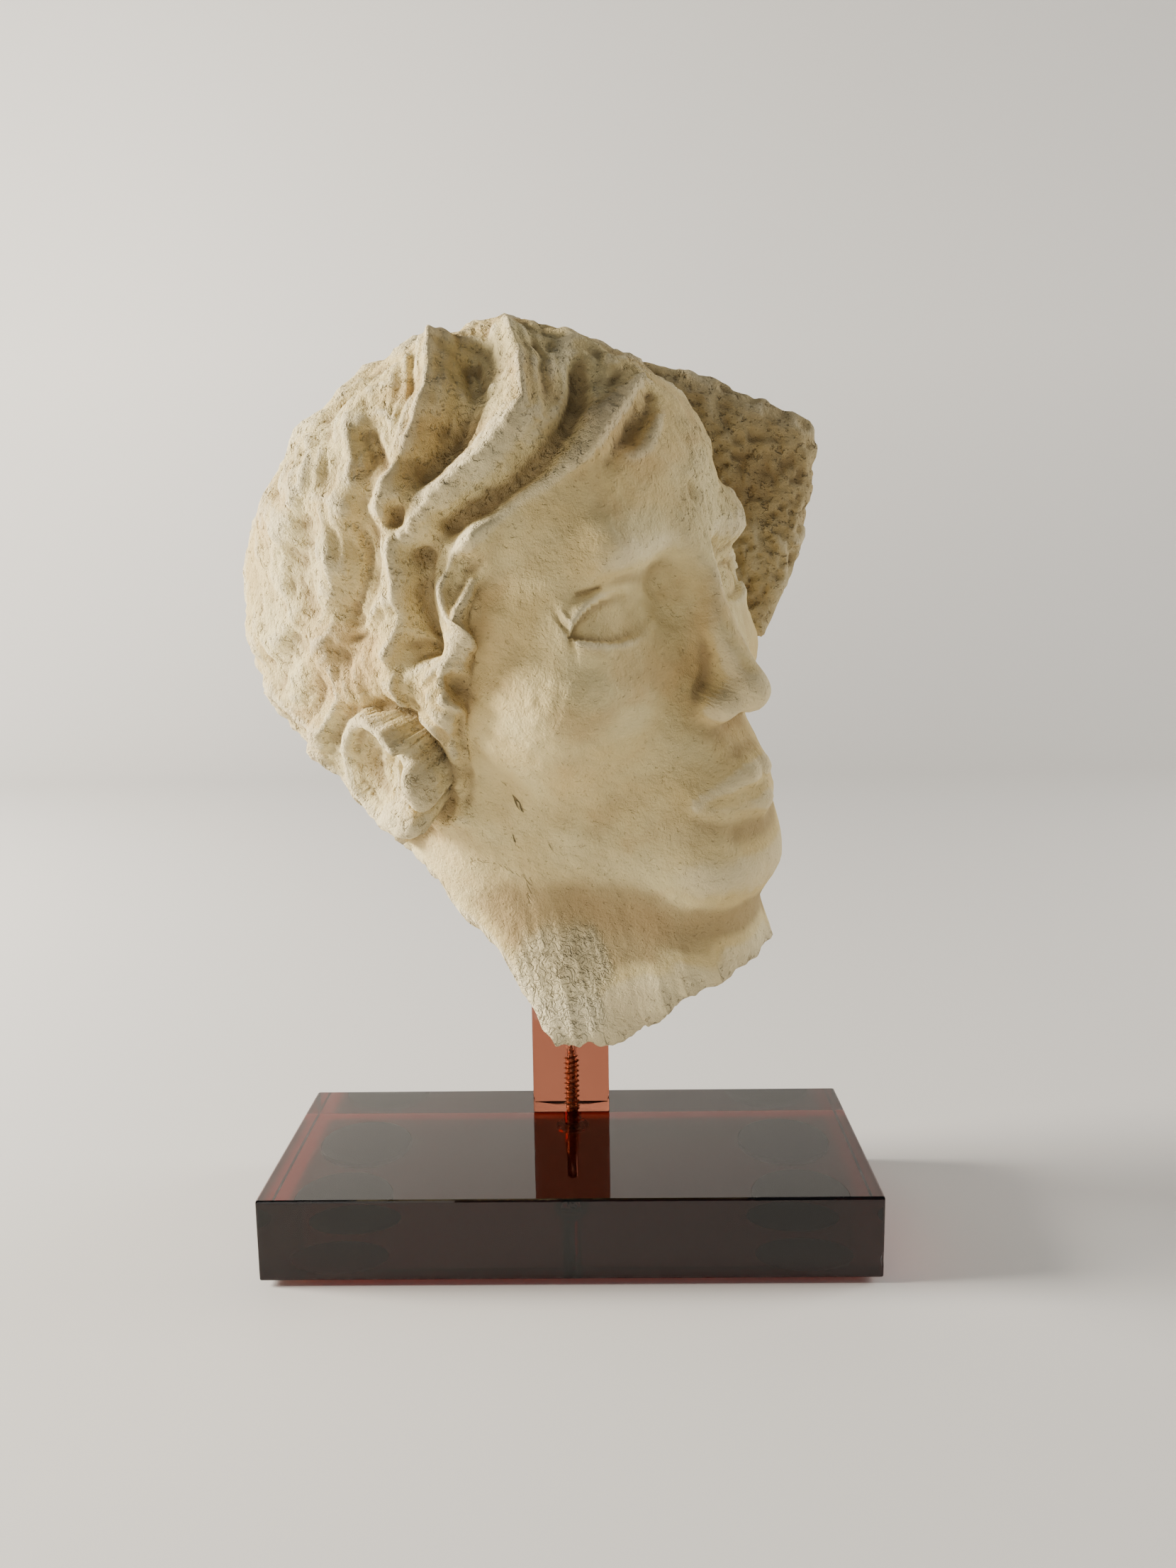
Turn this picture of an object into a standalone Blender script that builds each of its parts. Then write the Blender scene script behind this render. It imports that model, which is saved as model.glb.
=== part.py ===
# Weathered stone head, broken from a larger work, on a clear amber acrylic stand.
# The head's flat broken back is bonded to a square acrylic post. A countersunk screw
# holds the post on a thick acrylic slab, which rests on four round pads.
# World axes: x to the viewer's right, y away from the viewer, z up, in metres.

import math

import bmesh
import bpy
import numpy as np

# Stand
BASE_WIDTH = 0.1854
BASE_DEPTH = 0.0790
BASE_THICKNESS = 0.0254
BASE_EDGE = 0.0007

POST_WIDTH = 0.0260
POST_DEPTH = 0.0190
POST_HEIGHT = 0.110
POST_EDGE = 0.0005
POST_SIDE_SHIFT = -0.0008       # post centre from the slab's centre line
POST_BACK_INSET = 0.0005        # post back from the slab's back

PAD_DIAMETER = 0.0306
PAD_THICKNESS = 0.0015
PAD_EDGE_INSET = 0.0060         # pad rim from the slab's edges
PAD_BEVEL = 0.0003

# Screw
SCREW_RISE = 0.0235             # point above the slab's top
SCREW_THREAD_DIAMETER = 0.0056
SCREW_CORE_DIAMETER = 0.0038
SCREW_PITCH = 0.0018
SCREW_POINT_LENGTH = 0.0055
SCREW_HEAD_DIAMETER = 0.0108
SCREW_HEAD_RECESS = 0.0008      # head below the slab's underside
SCREW_SHANK_LENGTH = 0.0150     # plain length under the head
SLOT_WIDTH = 0.0010
SLOT_LENGTH = 0.0058
SLOT_DEPTH = 0.0016
SCREW_RIM = 0.0005              # upright edge of the head
SCREW_TIP_RADIUS = 0.0002
SCREW_SIDES = 12
PILOT_SPARE_DEPTH = 0.0040      # hole past the screw's point

# Chip on the slab's right front edge
CHIP_HEIGHT = 0.0055            # above the slab's underside
CHIP_RADIUS = 0.0030
CHIP_BITE = 0.0011
CHIP_STRETCH = 1.4              # chip's height to its width

# Head
HEAD_HEIGHT = 0.1760            # bare head, chin to crown
HEAD_TURN = math.radians(51)    # face turned to the viewer's right
HEAD_LIFT = math.radians(10)    # face raised
HEAD_TILT = math.radians(11)    # crown leaning to its own right shoulder
HEAD_SIDE = -0.0150             # head centre from the slab's centre line
HEAD_RISE = 0.1640              # head centre above the slab's top
HEAD_FORWARD = 0.0218           # head centre in front of the post

CLEARANCE = 0.0003              # between pieces that touch
ROUND_SIDES = 20                # of a pad or a hole
GRID_AROUND = 68                # points of the head's grid round and down
GRID_DOWN = 63
GRID_AROUND_CROWDS = ((-0.9, 1.0, 4.0),)
GRID_DOWN_CROWDS = ((1.5, 0.9, 1.5),)

# Head shape. All lengths are shares of the head's height: one unit is 1/227 of it.
# Head space: x to the head's own left, -y to the front, z up.
# Front space: the same unit, along the world's axes, from the head's centre.
UNITS_HIGH = 227.0
CORE = (2.0, -18.0, -8.0)       # point that every ray of the head's grid leaves
REACH = 190.0
WALK_STEPS = 60
WALK_SHARE = 0.9

# Breaks: planes as (point, outward normal) in front space. The planes of one group
# meet in a hollow corner, so the outermost of them counts.
BREAKS = (
    (((-17, 26, -119), (-0.70, -0.16, -0.62)), ((1, 15, -138), (-0.86, -0.10, -0.48))),
    (((32, 26, -153), (0.08, -0.06, -1.00)),),
    (((74, 3, -139), (0.50, -0.20, -0.84)),),
    (((37, 26, 118), (0.30, -0.24, 0.92)),),
)

# Worn slopes that flatten the crown and the back of the hair: point, outward normal
WORN_SLOPES = (
    ((-55, 10, 87), (-0.52, -0.10, 0.85)),
    ((-90, 10, 60), (-0.86, -0.10, 0.50)),
)

# Stump of the ground beside the forehead, a block with its middle and outline in the
# front view. The outline runs clockwise.
STUMP_MIDDLE = (82, 42)
STUMP_OUTLINE = ((30, 110), (80, 96), (116, 80), (119, 70), (118, 54), (110, 22), (99, -3),
                 (45, -14))
STUMP_FRONT = 8
STUMP_BACK_STEP = 0.6           # stump's back in front of the flat back
STUMP_AROUND = 32
STUMP_FACE_SHARES = (0.35, 0.7, 1.0)
STUMP_SIDE_SHARES = (0.35, 0.7, 1.0)

# Locks: (height, half width, points in the front view). A minus height is a groove.
LOCKS = (
    (8, 5.0, ((-20, 97), (-20, 79), (-25, 64), (-31, 52), (-35, 42))),
    (-9, 6.5, ((-9, 93), (-5, 79), (-13, 64), (-22, 55))),
    (7, 5.0, ((3, 103), (9, 88), (11, 72), (-2, 57), (-16, 47), (-25, 36))),
    (-8, 3.8, ((28, 90), (29, 79), (24, 68), (17, 58), (8, 49), (-3, 42), (-13, 37))),
    (6, 4.2, ((48, 85), (38, 68), (28, 56), (19, 48), (8, 41), (-6, 32))),
    (-8, 4.0, ((50, 79), (46, 64), (39, 54))),
    (4, 4.5, ((62, 84), (60, 72), (52, 62), (44, 53))),
    (6, 4.0, ((-4, 34), (-12, 28), (-17, 17), (-15, 7), (-10, -1))),
    (4, 2.8, ((13, 33), (2, 25), (-7, 19), (-10, 12), (-12, 5))),
    (-12, 5.0, ((-24, 26), (-25, 12), (-23, 0), (-29, -4))),
    (5, 4.0, ((-32, 31), (-32, 19), (-31, 8), (-38, -4))),
    (4, 6.0, ((-50, 77), (-46, 62), (-44, 49), (-48, 41))),
    (-4, 4.5, ((-41, 66), (-37, 56), (-43, 46))),
    (4, 6.0, ((-66, 70), (-62, 59), (-63, 50), (-71, 43))),
    (-6, 6.5, ((-65, 31), (-70, 20), (-67, 10))),
    (4, 6.0, ((-56, 42), (-54, 29), (-55, 17), (-65, 4))),
    (-4, 4.5, ((-42, 38), (-40, 26), (-43, 16), (-50, 6))),
    (5, 4.5, ((-60, -10), (-58, -20), (-67, -34))),
    (5, 4.0, ((-31, -5), (-34, -14), (-30, -22), (-22, -29), (-20, -41))),
    (4, 3.6, ((-18, -19), (-12, -24), (-11, -36), (-13, -45))),
    (-8, 2.4, ((-31, 41), (-31, 39))),
    (-6, 2.6, ((-14, -14), (-14, -16))),
)

WHORL = (0.0, 42.0, 112.0)
LOCK_ROWS = 10
LOCK_ROW_HEIGHT = 3.0
LOCK_LEAST_HALF_WIDTH = 5.0     # narrowest that the head's grid can carry
LOCK_SOFTENING = (0.5, 0.3)     # share of each grid point's relief, and after that of its
SOFTENING = 0.3                 # radius, that is taken from its neighbours

# Ear: its middle in head space, the lean of its face and the tip of its length
EAR_PLACE = (73.0, 5.0, -31.0)
EAR_LEAN = math.radians(14)
EAR_TIP = math.radians(-8)
EAR_CLEAR = 23.0                # radius that the locks leave free


def smooth_union(a, b, blend):
    # the nearer of two distances, rounded where they are alike
    overlap = np.maximum(blend - np.abs(a - b), 0.0) / blend
    return np.minimum(a, b) - overlap * overlap * blend * 0.25


def smooth_cut(a, b, blend):
    # shape a without shape b
    return -smooth_union(-a, b, blend)


def smooth_overlap(a, b, blend):
    # what shapes a and b share
    return -smooth_union(-a, -b, blend)


def smooth_step(low, high, value):
    share = np.clip((value - low) / (high - low), 0.0, 1.0)
    return share * share * (3.0 - 2.0 * share)


def length(*sides):
    return np.sqrt(sum(side * side for side in sides))


def ellipsoid(p, centre, radii):
    # distance to an ellipsoid, good near its surface
    offset = [p[i] - centre[i] for i in range(3)]
    share = length(*(offset[i] / radii[i] for i in range(3)))
    slope = length(*(offset[i] / radii[i] ** 2 for i in range(3)))
    return share * (share - 1.0) / np.maximum(slope, 1e-6)


def rod(p, start, end, start_radius, end_radius):
    # distance to a round rod whose radius runs from one value to the other
    axis = [end[i] - start[i] for i in range(3)]
    offset = [p[i] - start[i] for i in range(3)]
    along = sum(offset[i] * axis[i] for i in range(3)) / sum(side * side for side in axis)
    along = np.clip(along, 0.0, 1.0)
    gap = length(*(offset[i] - along * axis[i] for i in range(3)))
    return gap - (start_radius + along * (end_radius - start_radius))


def lattice(ix, iy, iz, seed):
    # a fixed value from -1 to 1 for each whole-numbered point
    code = (ix * 374761393 + iy * 668265263 + iz * 1440662683 + seed * 144665) & 0xFFFFFFFF
    code = ((code ^ (code >> 13)) * 1274126177) & 0xFFFFFFFF
    return ((code ^ (code >> 16)) & 0xFFFF) / 32767.5 - 1.0


def bumps(p, size, seed):
    # lattice values blended smoothly over cells of the given size
    cell = [np.floor(axis / size).astype(np.int64) for axis in p]
    part = [axis / size - whole for axis, whole in zip(p, cell)]
    part = [side * side * (3.0 - 2.0 * side) for side in part]
    total = 0.0
    for corner in range(8):
        step = (corner & 1, corner >> 1 & 1, corner >> 2 & 1)
        weight = 1.0
        for i in range(3):
            weight = weight * (part[i] if step[i] else 1.0 - part[i])
        total = total + weight * lattice(*(cell[i] + step[i] for i in range(3)), seed)
    return total


def turned_head():
    # columns are the head's own left, back and up, along the world's axes
    turn_cos, turn_sin = math.cos(HEAD_TURN), math.sin(HEAD_TURN)
    lift_cos, lift_sin = math.cos(HEAD_LIFT), math.sin(HEAD_LIFT)
    tilt_cos, tilt_sin = math.cos(HEAD_TILT), math.sin(HEAD_TILT)
    turn = np.array(((turn_cos, -turn_sin, 0), (turn_sin, turn_cos, 0), (0, 0, 1)))
    lift = np.array(((1, 0, 0), (0, lift_cos, lift_sin), (0, -lift_sin, lift_cos)))
    tilt = np.array(((tilt_cos, 0, -tilt_sin), (0, 1, 0), (tilt_sin, 0, tilt_cos)))
    return turn @ lift @ tilt


POSE = turned_head()


def to_front(p):
    return tuple(sum(POSE[i, k] * p[k] for k in range(3)) for i in range(3))


def skull(p, m):
    # cranium, face, jaw, chin, mouth and cheek bones
    shape = ellipsoid(p, (0, 8, 26), (73, 97, 86))
    shape = smooth_union(shape, ellipsoid(m, (0, -10, -28), (62, 75, 72)), 22)
    shape = smooth_union(shape, rod(m, (43, -4, -64), (12, -64, -92), 17, 17), 20)
    shape = smooth_union(shape, ellipsoid(m, (0, -67, -95), (24, 23, 20)), 14)
    shape = smooth_union(shape, ellipsoid(m, (0, -58, -66), (29, 35, 30)), 14)
    return smooth_union(shape, ellipsoid(m, (41, -52, -24), (23, 24, 20)), 22)


def brows(shape, m):
    # an upright forehead and a brow that runs straight into the nose
    shape = smooth_union(shape, ellipsoid(m, (0, -34, 46), (60, 57, 48)), 26)
    shape = smooth_union(shape, rod(m, (8, -84, 18), (34, -81, 21), 7.5, 6.8), 10)
    return smooth_union(shape, rod(m, (34, -81, 21), (58, -49, 9), 6.8, 4.0), 12)


def nose(shape, m):
    shape = smooth_union(shape, rod(m, (0, -84, 26), (0, -88, 4), 8.0, 6.5), 10)
    shape = smooth_union(shape, rod(m, (0, -88, 6), (0, -97, -34), 6.0, 6.4), 9)
    shape = smooth_union(shape, ellipsoid(m, (0, -98, -38), (6.6, 7.8, 6.6)), 6)
    shape = smooth_union(shape, ellipsoid(m, (8.4, -89, -40), (5.4, 9.0, 5.6)), 5)
    return smooth_cut(shape, ellipsoid(m, (5.0, -94, -47), (2.6, 5.5, 3.6)), 2)


def eyes(shape, m):
    # sockets, then a ball behind two lids that part in an almond, with a fold above
    shape = smooth_cut(shape, ellipsoid(m, (34, -100, -1), (26, 21, 16)), 8)
    shape = smooth_cut(shape, ellipsoid(m, (16, -99, 3), (9, 19, 13)), 8)
    across, high = m[0] - 33.0, m[2] + 2.0
    ball = length(across, m[1] + 54.0, high) - 24.0
    arch = np.clip(1.0 - (across / 19.5) ** 2, 0.0, 1.0)
    upper = 10.0 * arch ** 0.6 - high
    lower = high + 7.0 * arch ** 0.8
    almond = np.where(np.abs(across) < 19.5, np.minimum(upper, lower), 19.5 - np.abs(across))
    lids = smooth_cut(ball - 4.2, -almond, 2.4)
    lids = smooth_overlap(lids, length(across / 1.3, high / 0.95) - 18.0, 5)
    fold = length(high - 10.0 * arch ** 0.6 - 5.0, ball - 4.4) - 1.3 + 3.0 * (arch < 0.05)
    shape = smooth_cut(smooth_union(shape, lids, 4), fold, 2.0)
    return smooth_union(shape, ball, 0.8)


def mouth(shape, m):
    shape = smooth_union(shape, rod(m, (3.5, -92.0, -65.5), (22, -82.0, -70.0), 4.6, 1.8), 5)
    shape = smooth_union(shape, rod(m, (0, -91.0, -76.5), (18, -83.0, -73.5), 5.6, 2.2), 5)
    shape = smooth_cut(shape, rod(m, (0, -98.5, -70.8), (12, -94.5, -71.4), 1.8, 1.8), 2.2)
    shape = smooth_cut(shape, rod(m, (12, -94.5, -71.4), (25, -85.0, -70.8), 1.8, 2.0), 2.5)
    shape = smooth_cut(shape, rod(m, (0, -99.5, -87.0), (14, -95.0, -86.0), 5.5, 4.5), 8)
    return smooth_cut(shape, rod(m, (0, -102.0, -54.0), (0, -100.0, -62.0), 2.0, 2.4), 3.5)


def neck(shape, p):
    shape = smooth_union(shape, rod(p, (0, 12, -40), (0, 2, -200), 59, 64), 14)
    return smooth_union(shape, rod(p, (0, -34, -98), (0, -46, -200), 35, 39), 12)


def ear_frame(m):
    # seen along its own outward axis: forward, up and out of the side of the head
    lean, tip = EAR_LEAN, EAR_TIP
    out, back, up = (m[i] - EAR_PLACE[i] for i in range(3))
    forward = -(math.cos(tip) * back - math.sin(tip) * up)
    up = math.sin(tip) * back + math.cos(tip) * up
    return (math.cos(lean) * forward + math.sin(lean) * out, up,
            math.cos(lean) * out - math.sin(lean) * forward)


def ear(shape, m):
    # a raised plate, a rolled rim open to the front, a deep bowl with an inner ridge,
    # the flap before its hole and the stub of the broken lobe
    forward, up, out = ear_frame(m)
    shape = smooth_union(shape, 8.0 * (length(forward / 20, up / 20, out / 8) - 1.0), 4)
    round_rim = length(forward / 18.5, up / 18.5)
    opening = smooth_step(-2, 8, forward) * smooth_step(12, 0, up)
    rim = length((round_rim - 1.0) * 18.5, out - 8.0) - 3.0 + 6.0 * opening
    shape = smooth_cut(shape, ellipsoid((forward, up, out), (1, 1, 12), (16.0, 15.5, 13)), 2)
    shape = smooth_union(shape, rim, 1.4)
    inner_rim = length((forward - 3.5) / 9.0, (up + 1.0) / 9.5)
    ridge = length((inner_rim - 1.0) * 9.0, out - 2.5) - 1.7 + 4.0 * smooth_step(2, 9, forward)
    shape = smooth_union(shape, ridge, 1.8)
    shape = smooth_cut(shape, ellipsoid((forward, up, out), (9, -2, 0), (6.5, 7.0, 11)), 1.5)
    shape = smooth_union(shape, ellipsoid((forward, up, out), (20, -4, 3), (4.0, 8.0, 7)), 3)
    return smooth_union(shape, ellipsoid((forward, up, out), (7, -18, 4.0), (11, 6, 7)), 3)


def hair_share(p):
    # 0 on bare skin and 1 in the hair: a hairline that peaks over the brow's middle,
    # and an edge that runs down before the ear
    line = 44 + 28 * np.exp(-((p[0] - 18) / 22) ** 2)
    line = line - 0.002 * np.maximum(np.abs(p[0]) - 35, 0) ** 2
    inside = -smooth_union(line - p[2], -0.9 * (p[1] + 44 + 0.5 * p[2]), 10)
    inside = np.minimum(inside, p[2] + 62 + 0.2 * p[1])
    return smooth_step(-1, 7, inside)


def hair(shape, p, m):
    cap = ellipsoid(p, (0, 12, 32), (81, 98, 90))
    front = to_front(p)
    for point, normal in WORN_SLOPES:
        slope = sum(normal[i] * (front[i] - point[i]) for i in range(3))
        cap = smooth_overlap(cap, slope, 14)
    cap = smooth_union(cap, ellipsoid(m, (20, 50, -34), (60, 58, 60)), 30)
    cap = smooth_union(cap, rod(m, (66, -30, 0), (57, -14, -50), 11, 8), 10)
    cap = smooth_cut(cap, ellipsoid(m, (94, 6, -36), (22, 19, 28)), 8)
    return smooth_union(shape, cap + 16.0 * (1.0 - hair_share(p)), 3)


def whole_head(p):
    m = (np.abs(p[0]), p[1], p[2])
    shape = brows(skull(p, m), m)
    shape = nose(shape, m)
    shape = eyes(shape, m)
    shape = mouth(shape, m)
    shape = neck(shape, p)
    shape = hair(shape, p, m)
    return ear(shape, m)


def line_gap(x, z, points):
    # distance in the front view to a line through the points
    gap = np.full(x.shape, 2.0 * REACH)
    for (x0, z0), (x1, z1) in zip(points, points[1:]):
        along = (x - x0) * (x1 - x0) + (z - z0) * (z1 - z0)
        along = np.clip(along / ((x1 - x0) ** 2 + (z1 - z0) ** 2), 0.0, 1.0)
        gap = np.minimum(gap, length(x - x0 - along * (x1 - x0), z - z0 - along * (z1 - z0)))
    return gap


def lock_relief(p):
    # ridges and grooves over the hair, each a bell-shaped swelling along its own line
    x, y, z = to_front(p)
    relief = np.zeros(x.shape)
    for height, half_width, points in LOCKS:
        half_width = max(half_width, LOCK_LEAST_HALF_WIDTH)
        relief = relief + height * np.exp(-((line_gap(x, z, points) / half_width) ** 2))
    relief = relief * smooth_step(34, -12, y)
    # away from them, rows of worn locks that turn outwards from the crown's whorl
    out_x, out_y = p[0] - WHORL[0], p[1] - WHORL[1]
    run = length(out_x, out_y, p[2] - WHORL[2])
    bend = 0.012 * run + 0.9 * bumps(p, 40.0, 3)
    crest = np.sin(LOCK_ROWS * (np.arctan2(out_x, -out_y) + bend))
    crest = crest * (0.7 + 0.3 * np.sin(0.11 * run + 2.0 * crest))
    beyond = 1.0 - np.exp(-(((x + 5) / 74) ** 2) - ((z - 38) / 76) ** 2)
    relief = relief + LOCK_ROW_HEIGHT * crest * beyond * smooth_step(5, 40, run)
    relief = relief + 1.8 * bumps(p, 15.0, 7)
    # none on the ear, which stands clear of the hair
    forward, up, _ = ear_frame((np.abs(p[0]), p[1], p[2]))
    relief = relief * smooth_step(0.95, 1.2, length(forward, up) / EAR_CLEAR)
    return relief * hair_share(p)


def outer_wall(ray):
    # distance from the core at which each ray leaves the whole head: it walks in from
    # outside, each step a little shorter than the distance still left to the shape
    reach = np.full(ray[0].shape, REACH)
    for _ in range(WALK_STEPS):
        spot = tuple(CORE[i] + reach * ray[i] for i in range(3))
        reach = reach - WALK_SHARE * np.maximum(whole_head(spot), 0.0)
    return reach


def grid_normals(points, rings, around):
    # outward directions on a grid of rings: square to the line along each ring and to
    # the line from ring to ring
    grid = [axis[:rings * around].reshape(rings, around) for axis in points]
    across = [np.roll(axis, -1, axis=1) - np.roll(axis, 1, axis=1) for axis in grid]
    down = [np.gradient(axis, axis=0) for axis in grid]
    normal = [down[1] * across[2] - down[2] * across[1],
              down[2] * across[0] - down[0] * across[2],
              down[0] * across[1] - down[1] * across[0]]
    size = length(*normal)
    return [axis / size for axis in normal]


def soften_grid(values, share):
    # each value of the grid moves a little towards the mean of its four neighbours
    up = np.vstack((values[:1], values[:-1]))
    down = np.vstack((values[1:], values[-1:]))
    beside = np.roll(values, 1, axis=1) + np.roll(values, -1, axis=1)
    return values * (1.0 - share) + (up + down + beside) * (share / 4)


def carved_head(ray, rings, around):
    # the unbroken head's surface as rays from the core and distances along them: the
    # locks stand on the smooth surface, so the rays turn a little with them
    radius = outer_wall(ray)
    surface = tuple(CORE[i] + radius * ray[i] for i in range(3))
    relief = lock_relief(surface)
    for share in LOCK_SOFTENING:
        relief[:-2] = soften_grid(relief[:-2].reshape(rings, around), share).ravel()
    normal = grid_normals(surface, rings, around)
    toward = [np.concatenate((normal[i].ravel(), ray[i][-2:])) for i in range(3)]
    out = [surface[i] + relief * toward[i] - CORE[i] for i in range(3)]
    radius = length(*out)
    return tuple(axis / radius for axis in out), radius


def broken_radius(ray, radius):
    # the same distance after the breaks
    front_core = to_front(CORE)
    front_ray = to_front(ray)
    for group in BREAKS:
        wall = np.zeros(radius.shape)
        for point, normal in group:
            size = math.sqrt(sum(side * side for side in normal))
            facing = sum(normal[i] * front_ray[i] for i in range(3)) / size
            facing = np.maximum(facing, 0.02)
            depth = sum(normal[i] * (point[i] - front_core[i]) for i in range(3)) / size
            reach = np.minimum(depth / facing, REACH)
            spot = tuple(front_core[i] + reach * front_ray[i] for i in range(3))
            rough = 2.6 * bumps(spot, 17.0, 5) + 1.0 * bumps(spot, 7.0, 9)
            wall = np.maximum(wall, (depth + rough) / facing)
        radius = np.minimum(radius, wall)
    # the flat back, bonded to the post
    depth = (HEAD_FORWARD - CLEARANCE) / (HEAD_HEIGHT / UNITS_HIGH) - front_core[1]
    back = np.where(front_ray[1] > 0.01, depth / np.maximum(front_ray[1], 0.01), REACH)
    return np.minimum(radius, back)


def crowded(count, low, high, closed, crowds):
    # values from low to high, closer together round each (value, spread, strength)
    fine = np.linspace(low, high, 2001)
    density = np.ones(fine.shape)
    for centre, spread, strength in crowds:
        gap = fine - centre
        if closed:
            gap = (gap + math.pi) % (2 * math.pi) - math.pi
        density = density + strength * np.exp(-((gap / spread) ** 2))
    total = np.concatenate(((0.0,), np.cumsum((density[1:] + density[:-1]) / 2)))
    wanted = np.arange(count) / (count if closed else count - 1)
    return np.interp(wanted * total[-1], total, fine)


def ring_faces(rings, around):
    # faces between neighbouring rings, and fans to a first and a last pole point
    first, last = rings * around, rings * around + 1
    faces = []
    for column in range(around):
        beside = (column + 1) % around
        faces.append((first, column, beside))
        for ring in range(rings - 1):
            above, below = ring * around, (ring + 1) * around
            faces.append((above + column, below + column, below + beside, above + beside))
        end = (rings - 1) * around
        faces.append((last, end + beside, end + column))
    return faces


def head_mesh(around, down, place):
    # rings of rays from the crown's pole to the neck's pole; angle 0 looks to the face
    side = crowded(around, -math.pi, math.pi, True, GRID_AROUND_CROWDS)
    fall = crowded(down, 0.0, math.pi, False, GRID_DOWN_CROWDS)
    turn, drop = np.meshgrid(side, fall[1:-1])
    ray = [np.sin(drop) * np.sin(turn), -np.sin(drop) * np.cos(turn), np.cos(drop)]
    ray = tuple(np.concatenate((axis.ravel(), pole)) for axis, pole in
                zip(ray, ((0.0, 0.0), (0.0, 0.0), (1.0, -1.0))))
    rings = down - 2
    ray, radius = carved_head(ray, rings, around)
    radius[:-2] = soften_grid(radius[:-2].reshape(rings, around), SOFTENING).ravel()
    radius = broken_radius(ray, radius)
    front = to_front(tuple(CORE[i] + radius * ray[i] for i in range(3)))
    points = np.stack(front, axis=1) * (HEAD_HEIGHT / UNITS_HIGH) + np.array(place)
    return points, ring_faces(rings, around)


def stump_reach(angle):
    # distance from the stump's middle to its outline in each direction
    middle_x, middle_z = STUMP_MIDDLE
    reach = np.full(angle.shape, REACH)
    points = STUMP_OUTLINE
    for (x0, z0), (x1, z1) in zip(points, points[1:] + points[:1]):
        run = math.hypot(x1 - x0, z1 - z0)
        inset = ((x1 - x0) * (middle_z - z0) - (z1 - z0) * (middle_x - x0)) / run
        outward = ((x1 - x0) * np.sin(angle) - (z1 - z0) * np.cos(angle)) / run
        reach = np.where(outward > 1e-3, np.minimum(reach, -inset / np.maximum(outward, 1e-3)),
                         reach)
    return reach


def stump_mesh(place):
    # rings from the middle of the rough face to its rim, back along the sides, and in
    # over the flat back
    angle = np.arange(STUMP_AROUND) / STUMP_AROUND * 2 * math.pi
    back = (HEAD_FORWARD - CLEARANCE) / (HEAD_HEIGHT / UNITS_HIGH) - STUMP_BACK_STEP
    rings = [(share, STUMP_FRONT) for share in STUMP_FACE_SHARES]
    rings += [(1.0, STUMP_FRONT + share * (back - STUMP_FRONT)) for share in STUMP_SIDE_SHARES]
    rings += [(share, back) for share in STUMP_FACE_SHARES[-2::-1]]
    share, depth = (np.array(values)[:, None] for values in zip(*rings))
    reach = share * stump_reach(angle)
    x = STUMP_MIDDLE[0] + reach * np.cos(angle)
    z = STUMP_MIDDLE[1] + reach * np.sin(angle)
    depth = np.broadcast_to(depth, x.shape)
    rough = 1.6 * bumps((x, depth, z), 12.0, 13)
    x, z = x + rough * np.cos(angle), z + rough * np.sin(angle)
    y = np.where(depth < back, depth + rough, back)
    middle = [(STUMP_MIDDLE[0], end, STUMP_MIDDLE[1]) for end in (STUMP_FRONT, back)]
    points = np.concatenate((np.stack((x, y, z), axis=2).reshape(-1, 3), middle))
    points = points * (HEAD_HEIGHT / UNITS_HIGH) + np.array(place)
    return points, ring_faces(len(rings), STUMP_AROUND)


def material(name, colour, roughness, metallic=0.0, see_through=0.0):
    made = bpy.data.materials.new(name)
    made.use_nodes = True
    shader = made.node_tree.nodes["Principled BSDF"]
    shader.inputs["Base Color"].default_value = (*colour, 1.0)
    shader.inputs["Roughness"].default_value = roughness
    shader.inputs["Metallic"].default_value = metallic
    shader.inputs["Transmission Weight"].default_value = see_through
    return made


def add_piece(name, mesh, finish):
    piece = bpy.data.objects.new(name, mesh)
    bpy.context.collection.objects.link(piece)
    mesh.materials.clear()
    mesh.materials.append(finish)
    return piece


def mesh_from(name, points, faces):
    mesh = bpy.data.meshes.new(name)
    mesh.from_pydata([tuple(point) for point in points], [], faces)
    mesh.update()
    return mesh


def box_mesh(name, low, high):
    # upright box between two corners
    form = bmesh.new()
    bmesh.ops.create_cube(form, size=1.0)
    for corner in form.verts:
        for i in range(3):
            corner.co[i] = low[i] + (corner.co[i] + 0.5) * (high[i] - low[i])
    mesh = bpy.data.meshes.new(name)
    form.to_mesh(mesh)
    form.free()
    return mesh


def turned_mesh(name, profile, centre, sides):
    # solid of revolution: profile runs up the outside as (radius, height)
    angles = [2 * math.pi * k / sides for k in range(sides)]
    points = [(centre[0] + radius * math.cos(a), centre[1] + radius * math.sin(a), height)
              for radius, height in profile for a in angles]
    faces = [tuple(reversed(range(sides)))]
    for ring in range(len(profile) - 1):
        for k in range(sides):
            beside = (k + 1) % sides
            start, above = ring * sides, (ring + 1) * sides
            faces.append((start + k, start + beside, above + beside, above + k))
    faces.append(tuple(range((len(profile) - 1) * sides, len(profile) * sides)))
    return mesh_from(name, points, faces)


def soften(piece, width):
    edge = piece.modifiers.new("edge", "BEVEL")
    edge.width = width
    edge.segments = 2
    edge.limit_method = "ANGLE"


def combine(piece, other, operation):
    # the other body only shapes the piece, and isn't shown itself
    other.hide_render = True
    other.display_type = "WIRE"
    change = piece.modifiers.new(other.name, "BOOLEAN")
    change.operation = operation
    change.solver = "EXACT"
    change.object = other


def cut(piece, cutter):
    combine(piece, cutter, "DIFFERENCE")


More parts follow.
